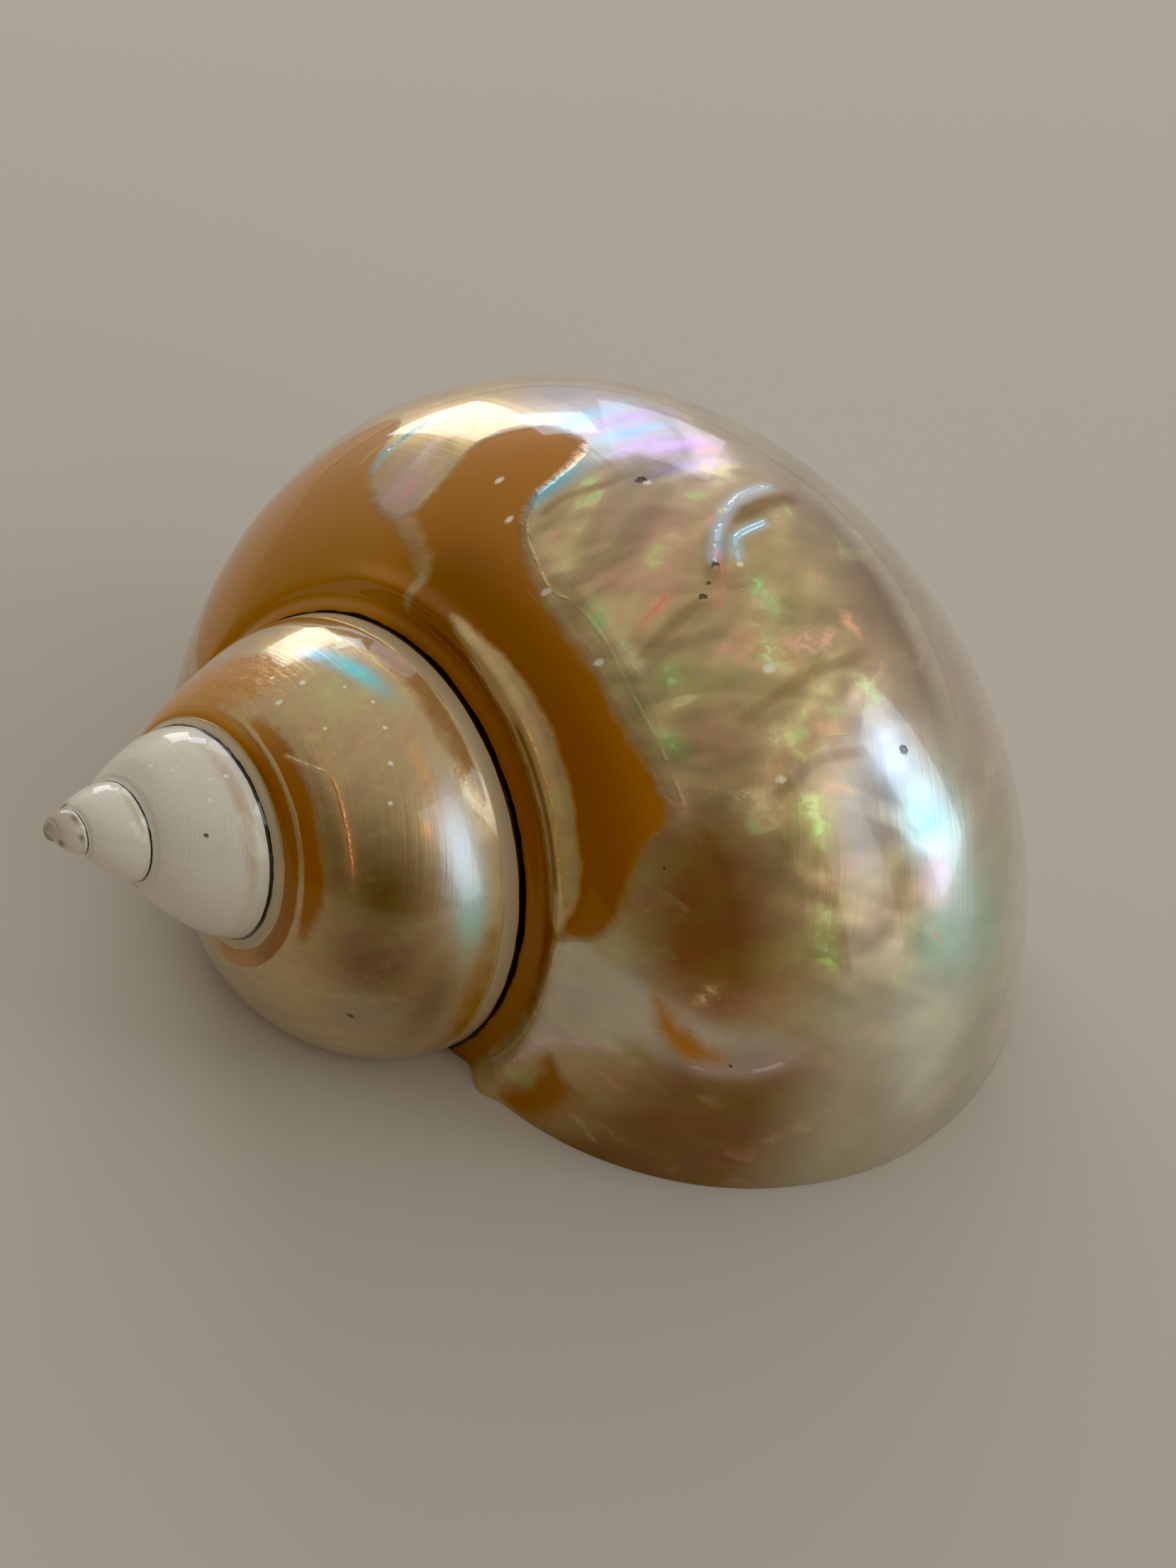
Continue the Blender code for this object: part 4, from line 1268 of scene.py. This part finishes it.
def shell():
    """The whole shell, painted and in its material. Edges are sharp where the ground cuts it."""
    mesh = shell_mesh()
    mesh.name = "polished_shell"
    mesh.materials.clear()
    mesh.polygons.foreach_set("material_index", np.zeros(len(mesh.polygons), np.int32))
    mesh.materials.append(nacre())
    mesh.set_sharp_from_angle(angle=SHARP_ANGLE)
    add_paint(mesh)
    piece = bpy.data.objects.new("polished_shell", mesh)
    bpy.context.scene.collection.objects.link(piece)
    return piece


# The camera, where the photograph was taken from, and the light
CAMERA_PLACE = Vector((-0.54, -74.72, 97.07)) * MM
CAMERA_RIGHT = Vector((0.99570, 0.07062, 0.05994))
CAMERA_UP = Vector((-0.09263, 0.75911, 0.64434))
FOCAL_LENGTH_PIXELS = 2400.0
PICTURE_HEIGHT_PIXELS = 2212.0
SENSOR_LONG_SIDE = 36.0
CLIP_START = 5 * MM


def camera():
    data = bpy.data.cameras.new("camera")
    data.sensor_width = SENSOR_LONG_SIDE
    data.lens = FOCAL_LENGTH_PIXELS / PICTURE_HEIGHT_PIXELS * SENSOR_LONG_SIDE
    data.clip_start = CLIP_START
    made = bpy.data.objects.new("camera", data)
    turned = Matrix((CAMERA_RIGHT, CAMERA_UP, CAMERA_RIGHT.cross(CAMERA_UP))).transposed().to_4x4()
    made.matrix_world = Matrix.Translation(CAMERA_PLACE) @ turned
    bpy.context.scene.collection.objects.link(made)
    bpy.context.scene.camera = made


BRIGHT_SIDE = (0.35, 0.65, 0.67)
BRIGHT_SKY = (0.58, 0.57, 0.55)
DARK_SKY = (0.11, 0.095, 0.075)
SKY_STEP = (-0.6, 0.9)
BLACK_LEVEL = (0.006, 0.008, 0.013)
FLOOR_SIDE = 3.0
FLOOR_DROP = 0.05 * MM
FLOOR_ROUGHNESS = 0.9
PANE_DISTANCE = 0.6
PANE_MIDDLE = Vector((0.0, 0.0, 15 * MM))
# Soft panes of light: bearing from +Y towards +X and rise in degrees, width, height, brightness, colour
PANES = {
    "left_pane": (-26, 18, 0.15, 0.26, 3.4, (1.0, 0.99, 0.97)),
    "sky_pane": (-14, 29, 0.12, 0.14, 3.8, (0.58, 0.83, 1.0)),
    "back_pane": (6, 28, 0.20, 0.36, 1.5, (0.86, 0.86, 1.0)),
    "right_pane": (94, 14, 0.20, 0.54, 2.3, (0.80, 0.93, 1.0)),
    "far_right_pane": (131, 22, 0.20, 0.52, 1.0, (0.96, 0.98, 1.0)),
}


def soft_light(name, bearing, rise, width, height, brightness, colour):
    """A rectangular light that faces the shell. Its power is pi times its area times its brightness."""
    data = bpy.data.lights.new(name, "AREA")
    data.shape = "RECTANGLE"
    data.size = width
    data.size_y = height
    data.energy = math.pi * width * height * brightness
    data.color = colour
    made = bpy.data.objects.new(name, data)
    bearing, rise = math.radians(bearing), math.radians(rise)
    way = Vector((math.cos(rise) * math.sin(bearing), math.cos(rise) * math.cos(bearing), math.sin(rise)))
    made.location = way * PANE_DISTANCE + PANE_MIDDLE
    made.rotation_euler = way.to_track_quat("Z", "Y").to_euler()
    bpy.context.scene.collection.objects.link(made)


def studio():
    bpy.ops.mesh.primitive_plane_add(size=FLOOR_SIDE, location=(0.0, 0.0, -FLOOR_DROP))
    floor = bpy.context.object
    floor.name = "floor"
    paper = bpy.data.materials.new("pale floor")
    paper.use_nodes = True
    surface = paper.node_tree.nodes["Principled BSDF"]
    surface.inputs["Base Color"].default_value = (*PAPER, 1.0)
    surface.inputs["Roughness"].default_value = FLOOR_ROUGHNESS
    floor.data.materials.append(paper)

    for name, values in PANES.items():
        soft_light(name, *values)

    world = bpy.data.worlds.new("studio")
    world.use_nodes = True
    n = Nodes(world.node_tree)
    way = n.add("ShaderNodeTexCoord").outputs["Generated"]
    towards = n.add("ShaderNodeVectorMath", {0: way, 1: BRIGHT_SIDE}, operation="DOT_PRODUCT")
    sky = n.mix(n.step(towards.outputs["Value"], *SKY_STEP), DARK_SKY, BRIGHT_SKY)
    n.tree.links.new(sky, world.node_tree.nodes["Background"].inputs["Color"])
    bpy.context.scene.world = world
    view = bpy.context.scene.view_settings
    view.view_transform = "Standard"
    view.use_curve_mapping = True
    view.curve_mapping.black_level = BLACK_LEVEL
    view.curve_mapping.update()


piece = shell()
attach(piece, "root")
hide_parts("turban_shell")
camera()
studio()
